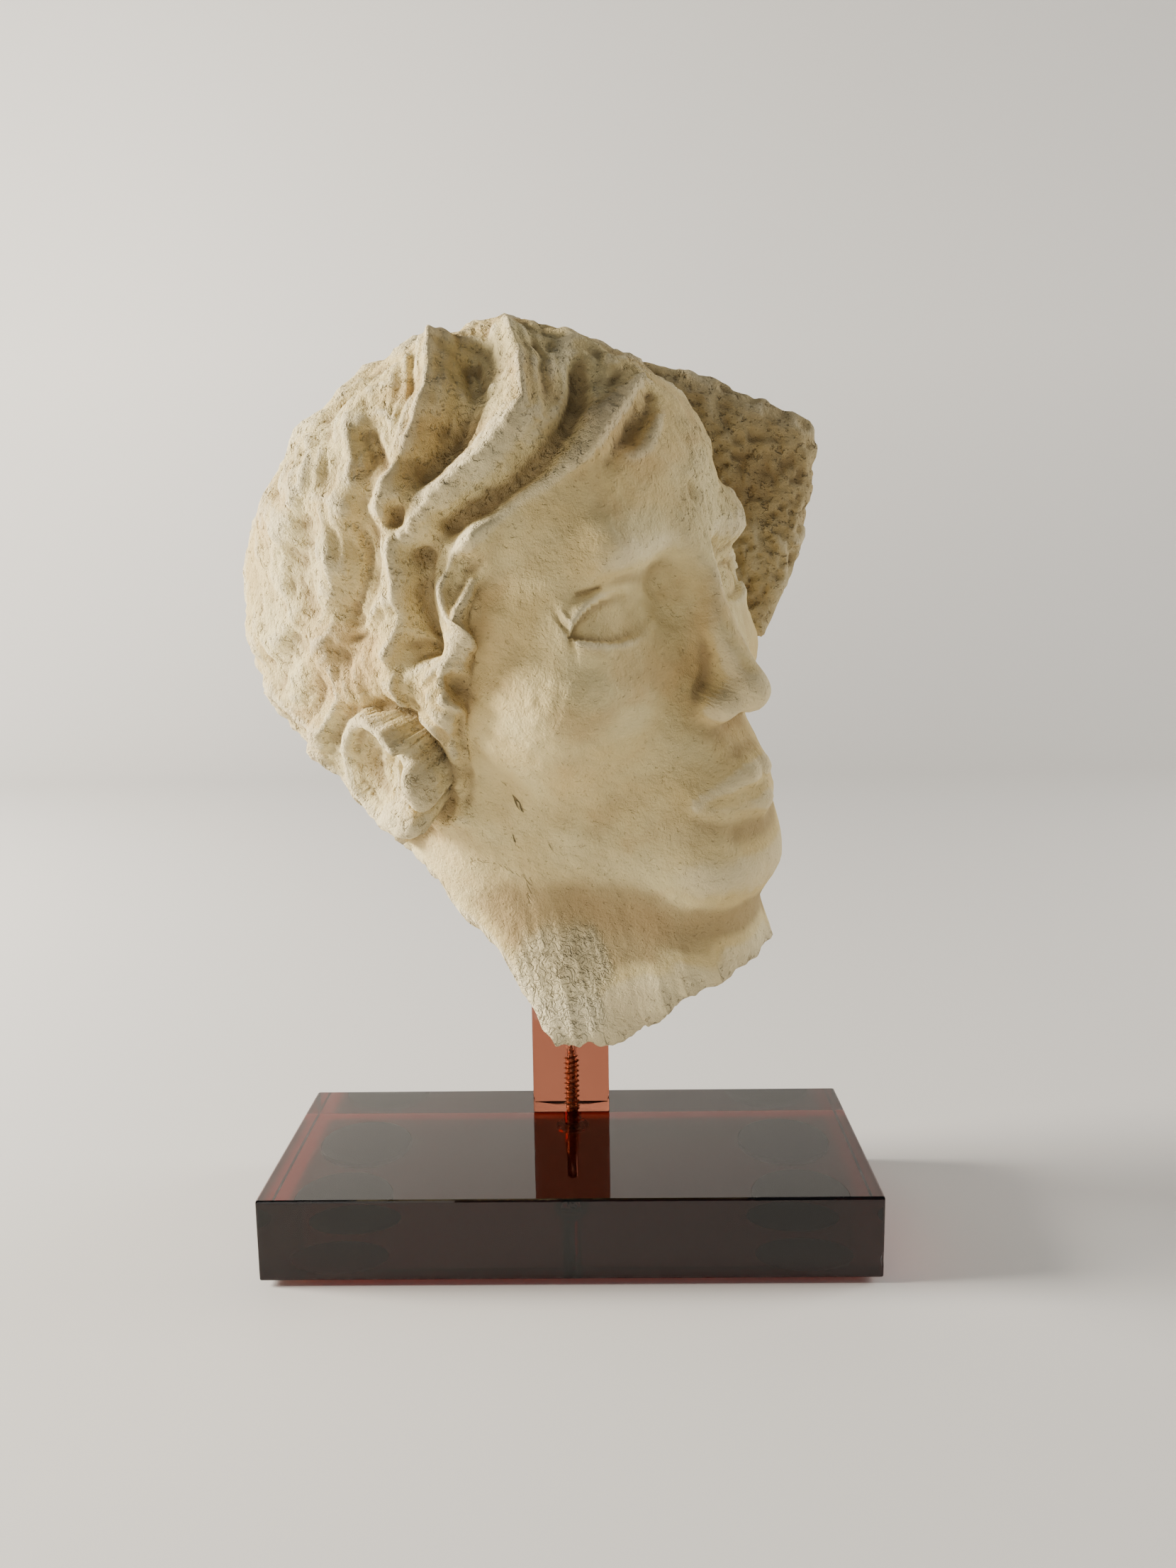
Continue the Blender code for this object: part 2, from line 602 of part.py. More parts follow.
def screw_profile(bottom, tip):
    # flat countersunk head below, plain shank, then rings of thread up to the point
    head = SCREW_HEAD_DIAMETER / 2
    core = SCREW_CORE_DIAMETER / 2
    crest = SCREW_THREAD_DIAMETER / 2
    shoulder = bottom + SCREW_RIM + head - core
    profile = [(head, bottom), (head, bottom + SCREW_RIM), (core, shoulder)]
    height = shoulder + SCREW_SHANK_LENGTH
    profile.append((core, height))
    while height + SCREW_PITCH * 1.25 < tip:
        share = min(1.0, (tip - height - SCREW_PITCH / 2) / SCREW_POINT_LENGTH)
        profile.append((crest * share, height + SCREW_PITCH / 2))
        height += SCREW_PITCH
        share = min(1.0, (tip - height) / SCREW_POINT_LENGTH)
        profile.append((core * share, height))
    profile.append((SCREW_TIP_RADIUS, tip))
    return profile


def make_stand(base_bottom, base_top):
    amber = material("amber_acrylic", (0.16, 0.055, 0.035), 0.05, see_through=0.9)
    half_width = BASE_WIDTH / 2
    back = BASE_DEPTH / 2
    base = add_piece("base_block", box_mesh("base_block", (-half_width, -back, base_bottom),
                                            (half_width, back, base_top)), amber)
    soften(base, BASE_EDGE)

    post_x = POST_SIDE_SHIFT
    post_y = back - POST_BACK_INSET - POST_DEPTH / 2
    post_low = (post_x - POST_WIDTH / 2, post_y - POST_DEPTH / 2, base_top + CLEARANCE)
    post_high = (post_x + POST_WIDTH / 2, post_y + POST_DEPTH / 2,
                 base_top + CLEARANCE + POST_HEIGHT)
    post = add_piece("post", box_mesh("post", post_low, post_high), amber)
    soften(post, POST_EDGE)

    axis = (post_x, post_y)
    head_bottom = base_bottom + SCREW_HEAD_RECESS
    tip = base_top + SCREW_RISE
    steel = material("coppery_steel", (0.55, 0.30, 0.20), 0.35, metallic=1.0)
    screw = add_piece("screw", turned_mesh("screw", screw_profile(head_bottom, tip), axis,
                                                   SCREW_SIDES),
                      steel)
    for number, (long_x, long_y) in enumerate(((SLOT_LENGTH, SLOT_WIDTH),
                                               (SLOT_WIDTH, SLOT_LENGTH))):
        slot = add_piece("slot_%d" % number, box_mesh(
            "slot_%d" % number,
            (axis[0] - long_x / 2, axis[1] - long_y / 2, head_bottom - SLOT_DEPTH),
            (axis[0] + long_x / 2, axis[1] + long_y / 2, head_bottom + SLOT_DEPTH)), steel)
        cut(screw, slot)

    # one cutter for the whole hole: countersink, clear bore and blind end in the post
    bore = SCREW_THREAD_DIAMETER / 2 + CLEARANCE
    sink = SCREW_HEAD_DIAMETER / 2 + CLEARANCE
    shoulder = head_bottom + SCREW_RIM + CLEARANCE
    hole = add_piece("screw_hole", turned_mesh("screw_hole", (
        (sink, base_bottom - PAD_THICKNESS), (sink, shoulder),
        (bore, shoulder + sink - bore), (bore, tip + PILOT_SPARE_DEPTH)), axis, ROUND_SIDES),
                     amber)
    cut(base, hole)
    cut(post, hole)

    chip = bpy.data.meshes.new("edge_chip")
    form = bmesh.new()
    bmesh.ops.create_icosphere(form, subdivisions=2, radius=CHIP_RADIUS)
    shift = (CHIP_RADIUS - CHIP_BITE) / math.sqrt(2)
    for corner in form.verts:
        corner.co.x = half_width + shift + corner.co.x
        corner.co.y = -back - shift + corner.co.y
        corner.co.z = base_bottom + CHIP_HEIGHT + CHIP_STRETCH * corner.co.z
    form.to_mesh(chip)
    form.free()
    cut(base, add_piece("edge_chip", chip, amber))
    return post_low[1]


def make_pads(base_bottom):
    dark = material("dark_pad", (0.03, 0.025, 0.025), 0.9)
    radius = PAD_DIAMETER / 2
    reach_x = BASE_WIDTH / 2 - PAD_EDGE_INSET - radius
    reach_y = BASE_DEPTH / 2 - PAD_EDGE_INSET - radius
    top = base_bottom - CLEARANCE
    bottom = top - PAD_THICKNESS
    profile = ((radius - PAD_BEVEL, bottom), (radius, bottom + PAD_BEVEL),
               (radius, top - PAD_BEVEL), (radius - PAD_BEVEL, top))
    corners = ((-1, -1), (1, -1), (-1, 1), (1, 1))
    for number, (side_x, side_y) in enumerate(corners, start=1):
        name = "foot_pad_%d" % number
        add_piece(name, turned_mesh(name, profile, (side_x * reach_x, side_y * reach_y),
                                    ROUND_SIDES), dark)


def make_head(base_top, post_front):
    stone = material("weathered_stone", (0.60, 0.53, 0.40), 0.9)
    place = (HEAD_SIDE, post_front - HEAD_FORWARD, base_top + HEAD_RISE)
    points, faces = head_mesh(GRID_AROUND, GRID_DOWN, place)
    head = add_piece("head", mesh_from("head", points, faces), stone)
    points, faces = stump_mesh(place)
    stump = add_piece("stump", mesh_from("stump", points, faces), stone)
    combine(head, stump, "UNION")


def set_on_origin():
    # the origin goes to the middle of the whole object's footprint, on the ground
    pieces = [piece for piece in bpy.data.objects if not piece.hide_render]
    corners = np.array([tuple(corner.co) for piece in pieces for corner in piece.data.vertices])
    low, high = corners.min(axis=0), corners.max(axis=0)
    stand = bpy.data.objects.new("stand_frame", None)
    bpy.context.collection.objects.link(stand)
    for piece in list(bpy.data.objects):
        if piece is not stand:
            piece.parent = stand
    stand.location = (-(low[0] + high[0]) / 2, -(low[1] + high[1]) / 2, -low[2])


for old in list(bpy.data.objects):
    bpy.data.objects.remove(old)

pad_top = PAD_THICKNESS
slab_bottom = pad_top + CLEARANCE
slab_top = slab_bottom + BASE_THICKNESS
front_of_post = make_stand(slab_bottom, slab_top)
make_pads(slab_bottom)
make_head(slab_top, front_of_post)
set_on_origin()
bpy.context.view_layer.update()
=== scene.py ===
import math

import bpy
import numpy as np
from mathutils import Matrix, Vector


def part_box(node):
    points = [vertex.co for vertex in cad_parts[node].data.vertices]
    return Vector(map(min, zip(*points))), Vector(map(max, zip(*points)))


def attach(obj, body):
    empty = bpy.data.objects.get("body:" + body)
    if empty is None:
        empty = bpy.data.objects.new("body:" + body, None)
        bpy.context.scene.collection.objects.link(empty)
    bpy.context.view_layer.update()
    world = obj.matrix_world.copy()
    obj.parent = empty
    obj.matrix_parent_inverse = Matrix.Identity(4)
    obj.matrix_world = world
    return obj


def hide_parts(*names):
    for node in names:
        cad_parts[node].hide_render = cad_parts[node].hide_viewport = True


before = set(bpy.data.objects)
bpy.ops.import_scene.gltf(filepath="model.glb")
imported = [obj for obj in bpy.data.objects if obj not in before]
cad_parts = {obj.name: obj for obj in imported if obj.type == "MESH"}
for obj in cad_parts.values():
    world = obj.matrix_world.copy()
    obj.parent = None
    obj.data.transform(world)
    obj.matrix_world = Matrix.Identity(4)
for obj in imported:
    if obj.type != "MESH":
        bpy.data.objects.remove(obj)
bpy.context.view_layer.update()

slabLow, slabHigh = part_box("base_block")
postLow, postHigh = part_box("post")
screwLow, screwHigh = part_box("screw")
slabMiddle = (slabLow.x + slabHigh.x) / 2

# camera: place from the middle of the slab's top front edge, angles in degrees
cameraSizes = {
    "side": 0.0121, "front": 0.3226, "up": 0.1729,
    "yaw": -0.85, "down": 8.75, "roll": -0.81,
    "focalPixels": 1661, "frameHeight": 2212, "sensor": 36.0,
}

# the stone head: angles in degrees, lengths in metres, core and reach in head units; grid
# lines crowd round (angle in radians, spread, strength)
headSizes = {
    "height": 0.1760, "unitsHigh": 227.0,
    "turn": 51, "lift": 10, "tilt": 11,
    "side": -0.0150, "rise": 0.1640, "forward": 0.0218, "bondGap": 0.0003,
    "around": 400, "aroundCrowds": ((-0.75, 1.1, 2.2), (-0.35, 0.4, 1.2)),
    "down": 190, "downCrowds": ((1.5, 0.7, 1.2),),
    "core": (2.0, -18.0, -8.0), "reach": 190.0, "walkSteps": 90, "walkShare": 0.9,
}
headUnit = headSizes["height"] / headSizes["unitsHigh"]

# all that follows for the stone is in head units, angles in degrees
eyeSizes = {
    "side": 33.0, "depth": -54.0, "height": -2.0, "ball": 24.0, "halfWidth": 19.5,
    "upperLid": 10.0, "lowerLid": 7.0, "lidThickness": 4.2, "foldRise": 5.0, "foldWidth": 1.3,
}
earSizes = {
    "middle": (73.0, 5.0, -31.0), "lean": 14, "tip": -8, "plate": (20, 8),
    "rim": 18.5, "rimRise": 8.0, "rimWidth": 2.6, "hairGap": 23,
}
hairSizes = {
    "lockShare": 0.8, "lockFade": (34, -12),
    "strandReach": 16, "strandHeight": 1.0, "strandWave": 1.35, "farthest": 40.0,
    "whorl": (0.0, 42.0, 112.0), "rows": 10, "rowHeight": 3.0, "rowBend": 0.012,
}

# rough ground as (height, size of the lumps, seed)
hairGround = ((2.8, 15.0, 7), (1.3, 8.0, 53))
wornGround = ((0.9, 8.0, 21), (0.6, 4.2, 22), (0.3, 2.3, 23))
skinGround = ((0.34, 7.0, 26), (0.22, 2.8, 27))
brokenGround = ((2.6, 17.0, 5), (1.0, 7.0, 9), (0.8, 3.6, 31), (0.45, 1.9, 32))
spongyGround = ((1.6, 12.0, 13), (1.2, 5.5, 34), (0.5, 2.6, 38))

# breaks of the stone: planes as (point, outward normal) in front units, from the head's
# centre along the world's axes; planes of one group meet in a hollow corner
stoneBreaks = (
    (((-17, 26, -119), (-0.70, -0.16, -0.62)), ((1, 15, -138), (-0.86, -0.10, -0.48))),
    (((32, 26, -153), (0.08, -0.06, -1.00)),),
    (((74, 3, -139), (0.50, -0.20, -0.84)),),
    (((37, 26, 118), (0.30, -0.24, 0.92)),),
)

# worn slopes that flatten the crown and the back of the hair: point, outward normal
wornSlopes = (
    ((-55, 10, 87), (-0.52, -0.10, 0.85)),
    ((-90, 10, 60), (-0.86, -0.10, 0.50)),
)

# stump of the ground beside the forehead: outline in the front view, depth of its front,
# its rounded rims and its lower back
stumpSizes = {
    "outline": ((30, 110), (80, 96), (116, 80), (119, 70), (118, 54), (110, 22), (99, -3),
                (45, -14)),
    "middle": (86, 44), "front": 6.5, "round": 6.0, "rimPower": 9, "rimTurn": 0.7,
    "backStep": 0.6, "backRound": 9.0, "backInset": 3.0, "backHollow": 3.2,
    "around": 230, "faceRings": 54, "faceCrowd": 0.75, "sideRings": 24, "backRings": 20,
}

# damage in the front view: the cracks on the jaw and the seams of a mended patch below
# it, three worn patches as (centre, half widths), and two lines of ragged stone
jawCracks = (
    ((-2, -46), (7, -61), (15, -72), (19, -79), (18, -85)),
    ((7, -61), (2, -66), (3, -72)),
)
patchSeams = (
    ((-13, -79), (-4, -80), (8, -86), (6, -104), (-1, -119)),
    ((-13, -79), (-15, -96), (-10, -110)),
)
neckScar = ((17, -128), (19, 26))
lobeWear = ((-38, -68), (13, 10))
browWear = ((84, 52), (22, 34))
roughStrip = ((-20, 116), (10, 118), (34, 110), (55, 101), (70, 90), (82, 76), (90, 58))
roughEdge = ((-100, -14), (-84, -40), (-62, -64), (-46, -80), (-30, -100))

# locks of the hair: (height, half width, points in the front view); minus is a groove
hairLocks = (
    (8, 5.0, ((-20, 97), (-20, 79), (-25, 64), (-31, 52), (-35, 42))),
    (-9, 6.5, ((-9, 93), (-5, 79), (-13, 64), (-22, 55))),
    (7, 5.0, ((3, 103), (9, 88), (11, 72), (-2, 57), (-16, 47), (-25, 36))),
    (-9, 4.4, ((28, 90), (29, 79), (24, 68), (17, 58), (8, 49), (-3, 42), (-13, 37))),
    (6, 4.2, ((48, 85), (38, 68), (28, 56), (19, 48), (8, 41), (-6, 32))),
    (-5, 5.2, ((50, 79), (46, 64), (39, 54))),
    (4, 4.5, ((62, 84), (60, 72), (52, 62), (44, 53))),
    (6, 4.0, ((-4, 34), (-12, 28), (-17, 17), (-15, 7), (-10, -1))),
    (4, 2.8, ((13, 33), (2, 25), (-7, 19), (-10, 12), (-12, 5))),
    (-12, 5.0, ((-24, 26), (-25, 12), (-23, 0), (-29, -4))),
    (5, 4.0, ((-32, 31), (-32, 19), (-31, 8), (-38, -4))),
    (4, 6.0, ((-50, 77), (-46, 62), (-44, 49), (-48, 41))),
    (-4, 4.5, ((-41, 66), (-37, 56), (-43, 46))),
    (4, 6.0, ((-66, 70), (-62, 59), (-63, 50), (-71, 43))),
    (-6, 6.5, ((-65, 31), (-70, 20), (-67, 10))),
    (4, 6.0, ((-56, 42), (-54, 29), (-55, 17), (-65, 4))),
    (-4, 4.5, ((-42, 38), (-40, 26), (-43, 16), (-50, 6))),
    (5, 4.5, ((-60, -10), (-58, -20), (-67, -34))),
    (5, 4.0, ((-31, -5), (-34, -14), (-30, -22), (-22, -29), (-20, -41))),
    (4, 3.6, ((-18, -19), (-12, -24), (-11, -36), (-13, -45))),
    (-8, 2.4, ((-31, 41), (-31, 39))),
    (-6, 2.6, ((-14, -14), (-14, -16))),
    (5, 4.0, ((-99, -3), (-96, -12))),
    (-8, 1.8, ((-97, -7), (-96, -9))),
    (-8, 2.0, ((-78, -35), (-77, -36))),
)

# the small pieces in metres; "sharp" is the angle in degrees from which an edge shows
screwSizes = {
    "threadRadius": 0.0028, "coreRadius": 0.0020, "pitch": 0.0018, "taper": 0.0060,
    "rim": 0.0005, "shank": 0.0150, "runOut": 0.003, "around": 40, "rowsPerTurn": 14,
    "slotLength": 0.0058, "slotWidth": 0.0010, "slotDepth": 0.0016, "slotSoft": 0.0003,
    "faceRings": 22, "sharp": 40,
}

postSizes = {
    "boreRadius": 0.00195, "boreSpare": 0.0041, "boreCone": 0.0012,
    "edge": 0.0004, "cornerPower": 44, "around": 72, "cornerSpread": 0.05, "cornerSteps": 9,
    "sharp": 25,
}

padSizes = {"edge": 0.0003, "around": 64, "seat": 0.00002, "sharp": 30}

studioSizes = {
    "floorDepth": 1.6, "bend": 0.6, "bendSteps": 24, "wallHeight": 1.4, "halfWidth": 2.6,
    "front": -1.2, "floorColour": (0.74, 0.73, 0.71), "floorRoughness": 0.85,
    "worldColour": (0.80, 0.84, 0.90), "worldStrength": 0.13,
}

# lamps: name, place, radius, power, colour
lamps = (
    ("leftWindow", (-1.20, 0.02, 0.58), 0.22, 190.0, (1.0, 0.93, 0.82)),
    ("rightWindow", (1.15, 0.25, 0.60), 0.30, 36.0, (1.0, 0.96, 0.90)),
    ("frontRoom", (-0.60, -1.50, 0.60), 0.40, 9.0, (1.0, 0.94, 0.86)),
)

stoneTones = {
    "cream": (0.78, 0.60, 0.27), "pale": (0.88, 0.74, 0.39), "crest": (0.93, 0.83, 0.56),
    "yellow": (0.95, 0.84, 0.52), "tan": (0.68, 0.45, 0.19), "grey": (0.56, 0.43, 0.21),
    "break": (0.62, 0.50, 0.28), "ground": (0.40, 0.31, 0.17), "dirtAndShade": (0.36, 0.25, 0.12),
    "gap": (0.12, 0.07, 0.03),
}

# clear acrylic: tint and density of its depth
acrylicTones = {
    "postAcrylic": ((0.72, 0.45, 0.33), 180.0),
    "slabAcrylic": ((0.77, 0.39, 0.19), 250.0),
}


def smoothUnion(a, b, blend):
    # the nearer of two distances, rounded where they are alike
    overlap = np.maximum(blend - np.abs(a - b), 0.0) / blend
    return np.minimum(a, b) - overlap * overlap * blend * 0.25


def smoothCut(a, b, blend):
    return -smoothUnion(-a, b, blend)


def smoothOverlap(a, b, blend):
    return -smoothUnion(-a, -b, blend)


def smoothStep(low, high, value):
    share = np.clip((value - low) / (high - low), 0.0, 1.0)
    return share * share * (3.0 - 2.0 * share)


def lengthOf(*sides):
    return np.sqrt(sum(side * side for side in sides))


def ellipsoid(p, centre, radii):
    # distance to an ellipsoid: scaled radius times (scaled radius - 1) over its slope
    offset = [p[i] - centre[i] for i in range(3)]
    share = lengthOf(*(offset[i] / radii[i] for i in range(3)))
    slope = lengthOf(*(offset[i] / radii[i] ** 2 for i in range(3)))
    return share * (share - 1.0) / np.maximum(slope, 1e-6)


def rod(p, start, end, startRadius, endRadius):
    # distance to a round rod whose radius runs evenly from one value to the other
    axis = [end[i] - start[i] for i in range(3)]
    offset = [p[i] - start[i] for i in range(3)]
    along = sum(offset[i] * axis[i] for i in range(3)) / sum(side * side for side in axis)
    along = np.clip(along, 0.0, 1.0)
    gap = lengthOf(*(offset[i] - along * axis[i] for i in range(3)))
    return gap - (startRadius + along * (endRadius - startRadius))


def latticeValue(ix, iy, iz, seed):
    # a fixed value from -1 to 1 for each whole-numbered point
    code = (ix * 374761393 + iy * 668265263 + iz * 1440662683 + seed * 144665) & 0xFFFFFFFF
    code = ((code ^ (code >> 13)) * 1274126177) & 0xFFFFFFFF
    return ((code ^ (code >> 16)) & 0xFFFF) / 32767.5 - 1.0


def bumps(p, size, seed):
    # lattice values blended smoothly over cells of the given size
    cell = [np.floor(axis / size).astype(np.int64) for axis in p]
    part = [axis / size - whole for axis, whole in zip(p, cell)]
    part = [side * side * (3.0 - 2.0 * side) for side in part]
    total = 0.0
    for corner in range(8):
        step = (corner & 1, corner >> 1 & 1, corner >> 2 & 1)
        weight = 1.0
        for i in range(3):
            weight = weight * (part[i] if step[i] else 1.0 - part[i])
        total = total + weight * latticeValue(*(cell[i] + step[i] for i in range(3)), seed)
    return total


def ground(p, layers):
    return sum(height * bumps(p, size, seed) for height, size, seed in layers)


def openings(p, size, seed, rim):
    # depth of round pits: how far the bumps stand over a rim's value
    return np.maximum(bumps(p, size, seed) - rim, 0.0)


def turnedHead():
    # columns are the head's own left, back and up, along the world's axes
    turn, lift, tilt = (math.radians(headSizes[name]) for name in ("turn", "lift", "tilt"))
    turned = np.array(((math.cos(turn), -math.sin(turn), 0), (math.sin(turn), math.cos(turn), 0),
                       (0, 0, 1)))
    lifted = np.array(((1, 0, 0), (0, math.cos(lift), math.sin(lift)),
                       (0, -math.sin(lift), math.cos(lift))))
    tilted = np.array(((math.cos(tilt), 0, -math.sin(tilt)), (0, 1, 0),
                       (math.sin(tilt), 0, math.cos(tilt))))
    return turned @ lifted @ tilted


headPose = turnedHead()


def toFront(p):
    return tuple(sum(headPose[i, k] * p[k] for k in range(3)) for i in range(3))


def skull(p, m):
    # cranium, face, jaw, chin, mouth and cheek bones as blended ellipsoids and rods
    shape = ellipsoid(p, (0, 8, 26), (73, 97, 86))
    shape = smoothUnion(shape, ellipsoid(m, (0, -10, -28), (62, 75, 72)), 22)
    shape = smoothUnion(shape, rod(m, (43, -4, -64), (12, -64, -92), 17, 17), 20)
    shape = smoothUnion(shape, ellipsoid(m, (0, -67, -95), (24, 23, 20)), 14)
    shape = smoothUnion(shape, ellipsoid(m, (0, -58, -66), (29, 35, 30)), 14)
    return smoothUnion(shape, ellipsoid(m, (41, -52, -24), (23, 24, 20)), 22)


def brows(shape, m):
    # an upright forehead and a brow that runs straight into the nose
    shape = smoothUnion(shape, ellipsoid(m, (0, -34, 46), (60, 57, 48)), 26)
    shape = smoothUnion(shape, rod(m, (8, -84, 18), (34, -81, 21), 7.5, 6.8), 10)
    return smoothUnion(shape, rod(m, (34, -81, 21), (58, -49, 9), 6.8, 4.0), 12)


def nose(shape, m):
    shape = smoothUnion(shape, rod(m, (0, -84, 26), (0, -88, 4), 8.0, 6.5), 10)
    shape = smoothUnion(shape, rod(m, (0, -88, 6), (0, -97, -34), 6.0, 6.4), 9)
    shape = smoothUnion(shape, ellipsoid(m, (0, -98, -38), (6.6, 7.8, 6.6)), 6)
    shape = smoothUnion(shape, ellipsoid(m, (8.4, -89, -40), (5.4, 9.0, 5.6)), 5)
    return smoothCut(shape, ellipsoid(m, (5.0, -94, -47), (2.6, 5.5, 3.6)), 2)


def eyes(shape, m):
    # sockets, then a ball behind two lids that part in an almond, with a fold above
    shape = smoothCut(shape, ellipsoid(m, (34, -100, -1), (26, 21, 16)), 8)
    shape = smoothCut(shape, ellipsoid(m, (16, -99, 3), (9, 19, 13)), 8)
    sizes = eyeSizes
    across, high = m[0] - sizes["side"], m[2] - sizes["height"]
    ball = lengthOf(across, m[1] - sizes["depth"], high) - sizes["ball"]
    arch = np.clip(1.0 - (across / sizes["halfWidth"]) ** 2, 0.0, 1.0)
    rise = sizes["upperLid"] * arch ** 0.6
    fall = sizes["lowerLid"] * arch ** 0.8
    inside = sizes["halfWidth"] - np.abs(across)
    almond = np.where(inside > 0, np.minimum(rise - high, high + fall), inside)
    lids = smoothCut(ball - sizes["lidThickness"], -almond, 2.4)
    lids = smoothOverlap(lids, lengthOf(across / 1.3, high / 0.95) - 18.0, 5)
    fold = lengthOf(high - rise - sizes["foldRise"], ball - 4.4) - sizes["foldWidth"]
    fold = fold + 3.0 * (arch < 0.05)
    shape = smoothCut(smoothUnion(shape, lids, 4), fold, 2.0)
    return smoothUnion(shape, ball, 0.8)


def mouth(shape, m):
    shape = smoothUnion(shape, rod(m, (3.5, -92.0, -65.5), (22, -82.0, -70.0), 4.6, 1.8), 5)
    shape = smoothUnion(shape, rod(m, (0, -91.0, -76.5), (18, -83.0, -73.5), 5.6, 2.2), 5)
    shape = smoothCut(shape, rod(m, (0, -98.5, -70.8), (12, -94.5, -71.4), 1.8, 1.8), 2.2)
    shape = smoothCut(shape, rod(m, (12, -94.5, -71.4), (25, -85.0, -70.8), 1.8, 2.0), 2.5)
    shape = smoothCut(shape, rod(m, (0, -99.5, -87.0), (14, -95.0, -86.0), 5.5, 4.5), 8)
    return smoothCut(shape, rod(m, (0, -102.0, -54.0), (0, -100.0, -62.0), 2.0, 2.4), 3.5)


def neck(shape, p):
    shape = smoothUnion(shape, rod(p, (0, 12, -40), (0, 2, -200), 59, 64), 14)
    return smoothUnion(shape, rod(p, (0, -34, -98), (0, -46, -200), 35, 39), 12)


def earFrame(m):
    # seen along its own outward axis: forward, up and out of the side of the head
    lean, tip = math.radians(earSizes["lean"]), math.radians(earSizes["tip"])
    out, back, up = (m[i] - earSizes["middle"][i] for i in range(3))
    forward = -(math.cos(tip) * back - math.sin(tip) * up)
    up = math.sin(tip) * back + math.cos(tip) * up
    return (math.cos(lean) * forward + math.sin(lean) * out, up,
            math.cos(lean) * out - math.sin(lean) * forward)


def ear(shape, m):
    # a raised plate, a rolled rim open to the front, a deep bowl with an inner ridge,
    # the flap before its hole and the stub of the broken lobe
    forward, up, out = earFrame(m)
    width, thickness = earSizes["plate"]
    plate = lengthOf(forward / width, up / width, out / thickness) - 1.0
    shape = smoothUnion(shape, thickness * plate, 4)
    radius = earSizes["rim"]
    roundRim = (lengthOf(forward / radius, up / radius) - 1.0) * radius
    opening = smoothStep(-2, 8, forward) * smoothStep(12, 0, up)
    rim = lengthOf(roundRim, out - earSizes["rimRise"]) - earSizes["rimWidth"] + 6.0 * opening
    shape = smoothCut(shape, ellipsoid((forward, up, out), (1, 1, 12), (16.0, 15.5, 13)), 2)
    shape = smoothUnion(shape, rim, 1.4)
    innerRim = lengthOf((forward - 3.5) / 9.0, (up + 1.0) / 9.5)
    ridge = lengthOf((innerRim - 1.0) * 9.0, out + 0.5) - 1.6 + 4.0 * smoothStep(0, 7, forward)
    shape = smoothUnion(shape, ridge, 1.8)
    shape = smoothCut(shape, ellipsoid((forward, up, out), (8, -3, -4), (7.0, 8.5, 14)), 1.2)
    shape = smoothUnion(shape, ellipsoid((forward, up, out), (20, -4, 3), (4.0, 8.0, 7)), 3)
    return smoothUnion(shape, ellipsoid((forward, up, out), (7, -18, 4.0), (11, 6, 7)), 3)


def hairShare(p):
    # 0 on bare skin and 1 in the hair: a hairline that peaks over the brow's middle,
    # and an edge that runs down before the ear
    line = 44 + 28 * np.exp(-((p[0] - 18) / 22) ** 2)
    line = line - 0.002 * np.maximum(np.abs(p[0]) - 35, 0) ** 2
    inside = -smoothUnion(line - p[2], -0.9 * (p[1] + 44 + 0.5 * p[2]), 10)
    inside = np.minimum(inside, p[2] + 62 + 0.2 * p[1])
    return smoothStep(-1, 7, inside)


def hair(shape, p, m):
    cap = ellipsoid(p, (0, 12, 32), (81, 98, 90))
    front = toFront(p)
    for point, normal in wornSlopes:
        slope = sum(normal[i] * (front[i] - point[i]) for i in range(3))
        cap = smoothOverlap(cap, slope, 14)
    cap = smoothUnion(cap, ellipsoid(m, (20, 50, -34), (60, 58, 60)), 30)
    cap = smoothUnion(cap, rod(m, (66, -30, 0), (57, -14, -50), 11, 8), 10)
    cap = smoothCut(cap, ellipsoid(m, (94, 6, -36), (22, 19, 28)), 8)
    return smoothUnion(shape, cap + 16.0 * (1.0 - hairShare(p)), 3)


def wholeHead(p):
    m = (np.abs(p[0]), p[1], p[2])
    shape = brows(skull(p, m), m)
    shape = nose(shape, m)
    shape = eyes(shape, m)
    shape = mouth(shape, m)
    shape = neck(shape, p)
    shape = hair(shape, p, m)
    return ear(shape, m)


def outerWall(ray):
    # distance from the core at which each ray leaves the whole head: it walks in from
    # outside, each step a little shorter than the distance still left to the shape
    core = headSizes["core"]
    reach = np.full(ray[0].shape, headSizes["reach"])
    for _ in range(headSizes["walkSteps"]):
        spot = tuple(core[i] + reach * ray[i] for i in range(3))
        reach = reach - headSizes["walkShare"] * np.maximum(wholeHead(spot), 0.0)
    return reach


def lineGap(x, z, points):
    # distance in the front view to a line through the points
    gap = np.full(x.shape, 1e3)
    for (x0, z0), (x1, z1) in zip(points, points[1:]):
        along = (x - x0) * (x1 - x0) + (z - z0) * (z1 - z0)
        along = np.clip(along / ((x1 - x0) ** 2 + (z1 - z0) ** 2), 0.0, 1.0)
        gap = np.minimum(gap, lengthOf(x - x0 - along * (x1 - x0), z - z0 - along * (z1 - z0)))
    return gap


def patchShare(x, z, patch, wander):
    # 1 inside an oval in the front view and 0 outside it, with a wandering edge
    (middleX, middleZ), (halfX, halfZ) = patch
    reach = lengthOf((x - middleX) / halfX, (z - middleZ) / halfZ)
    return smoothStep(1.15, 0.85, reach + 0.25 * wander)


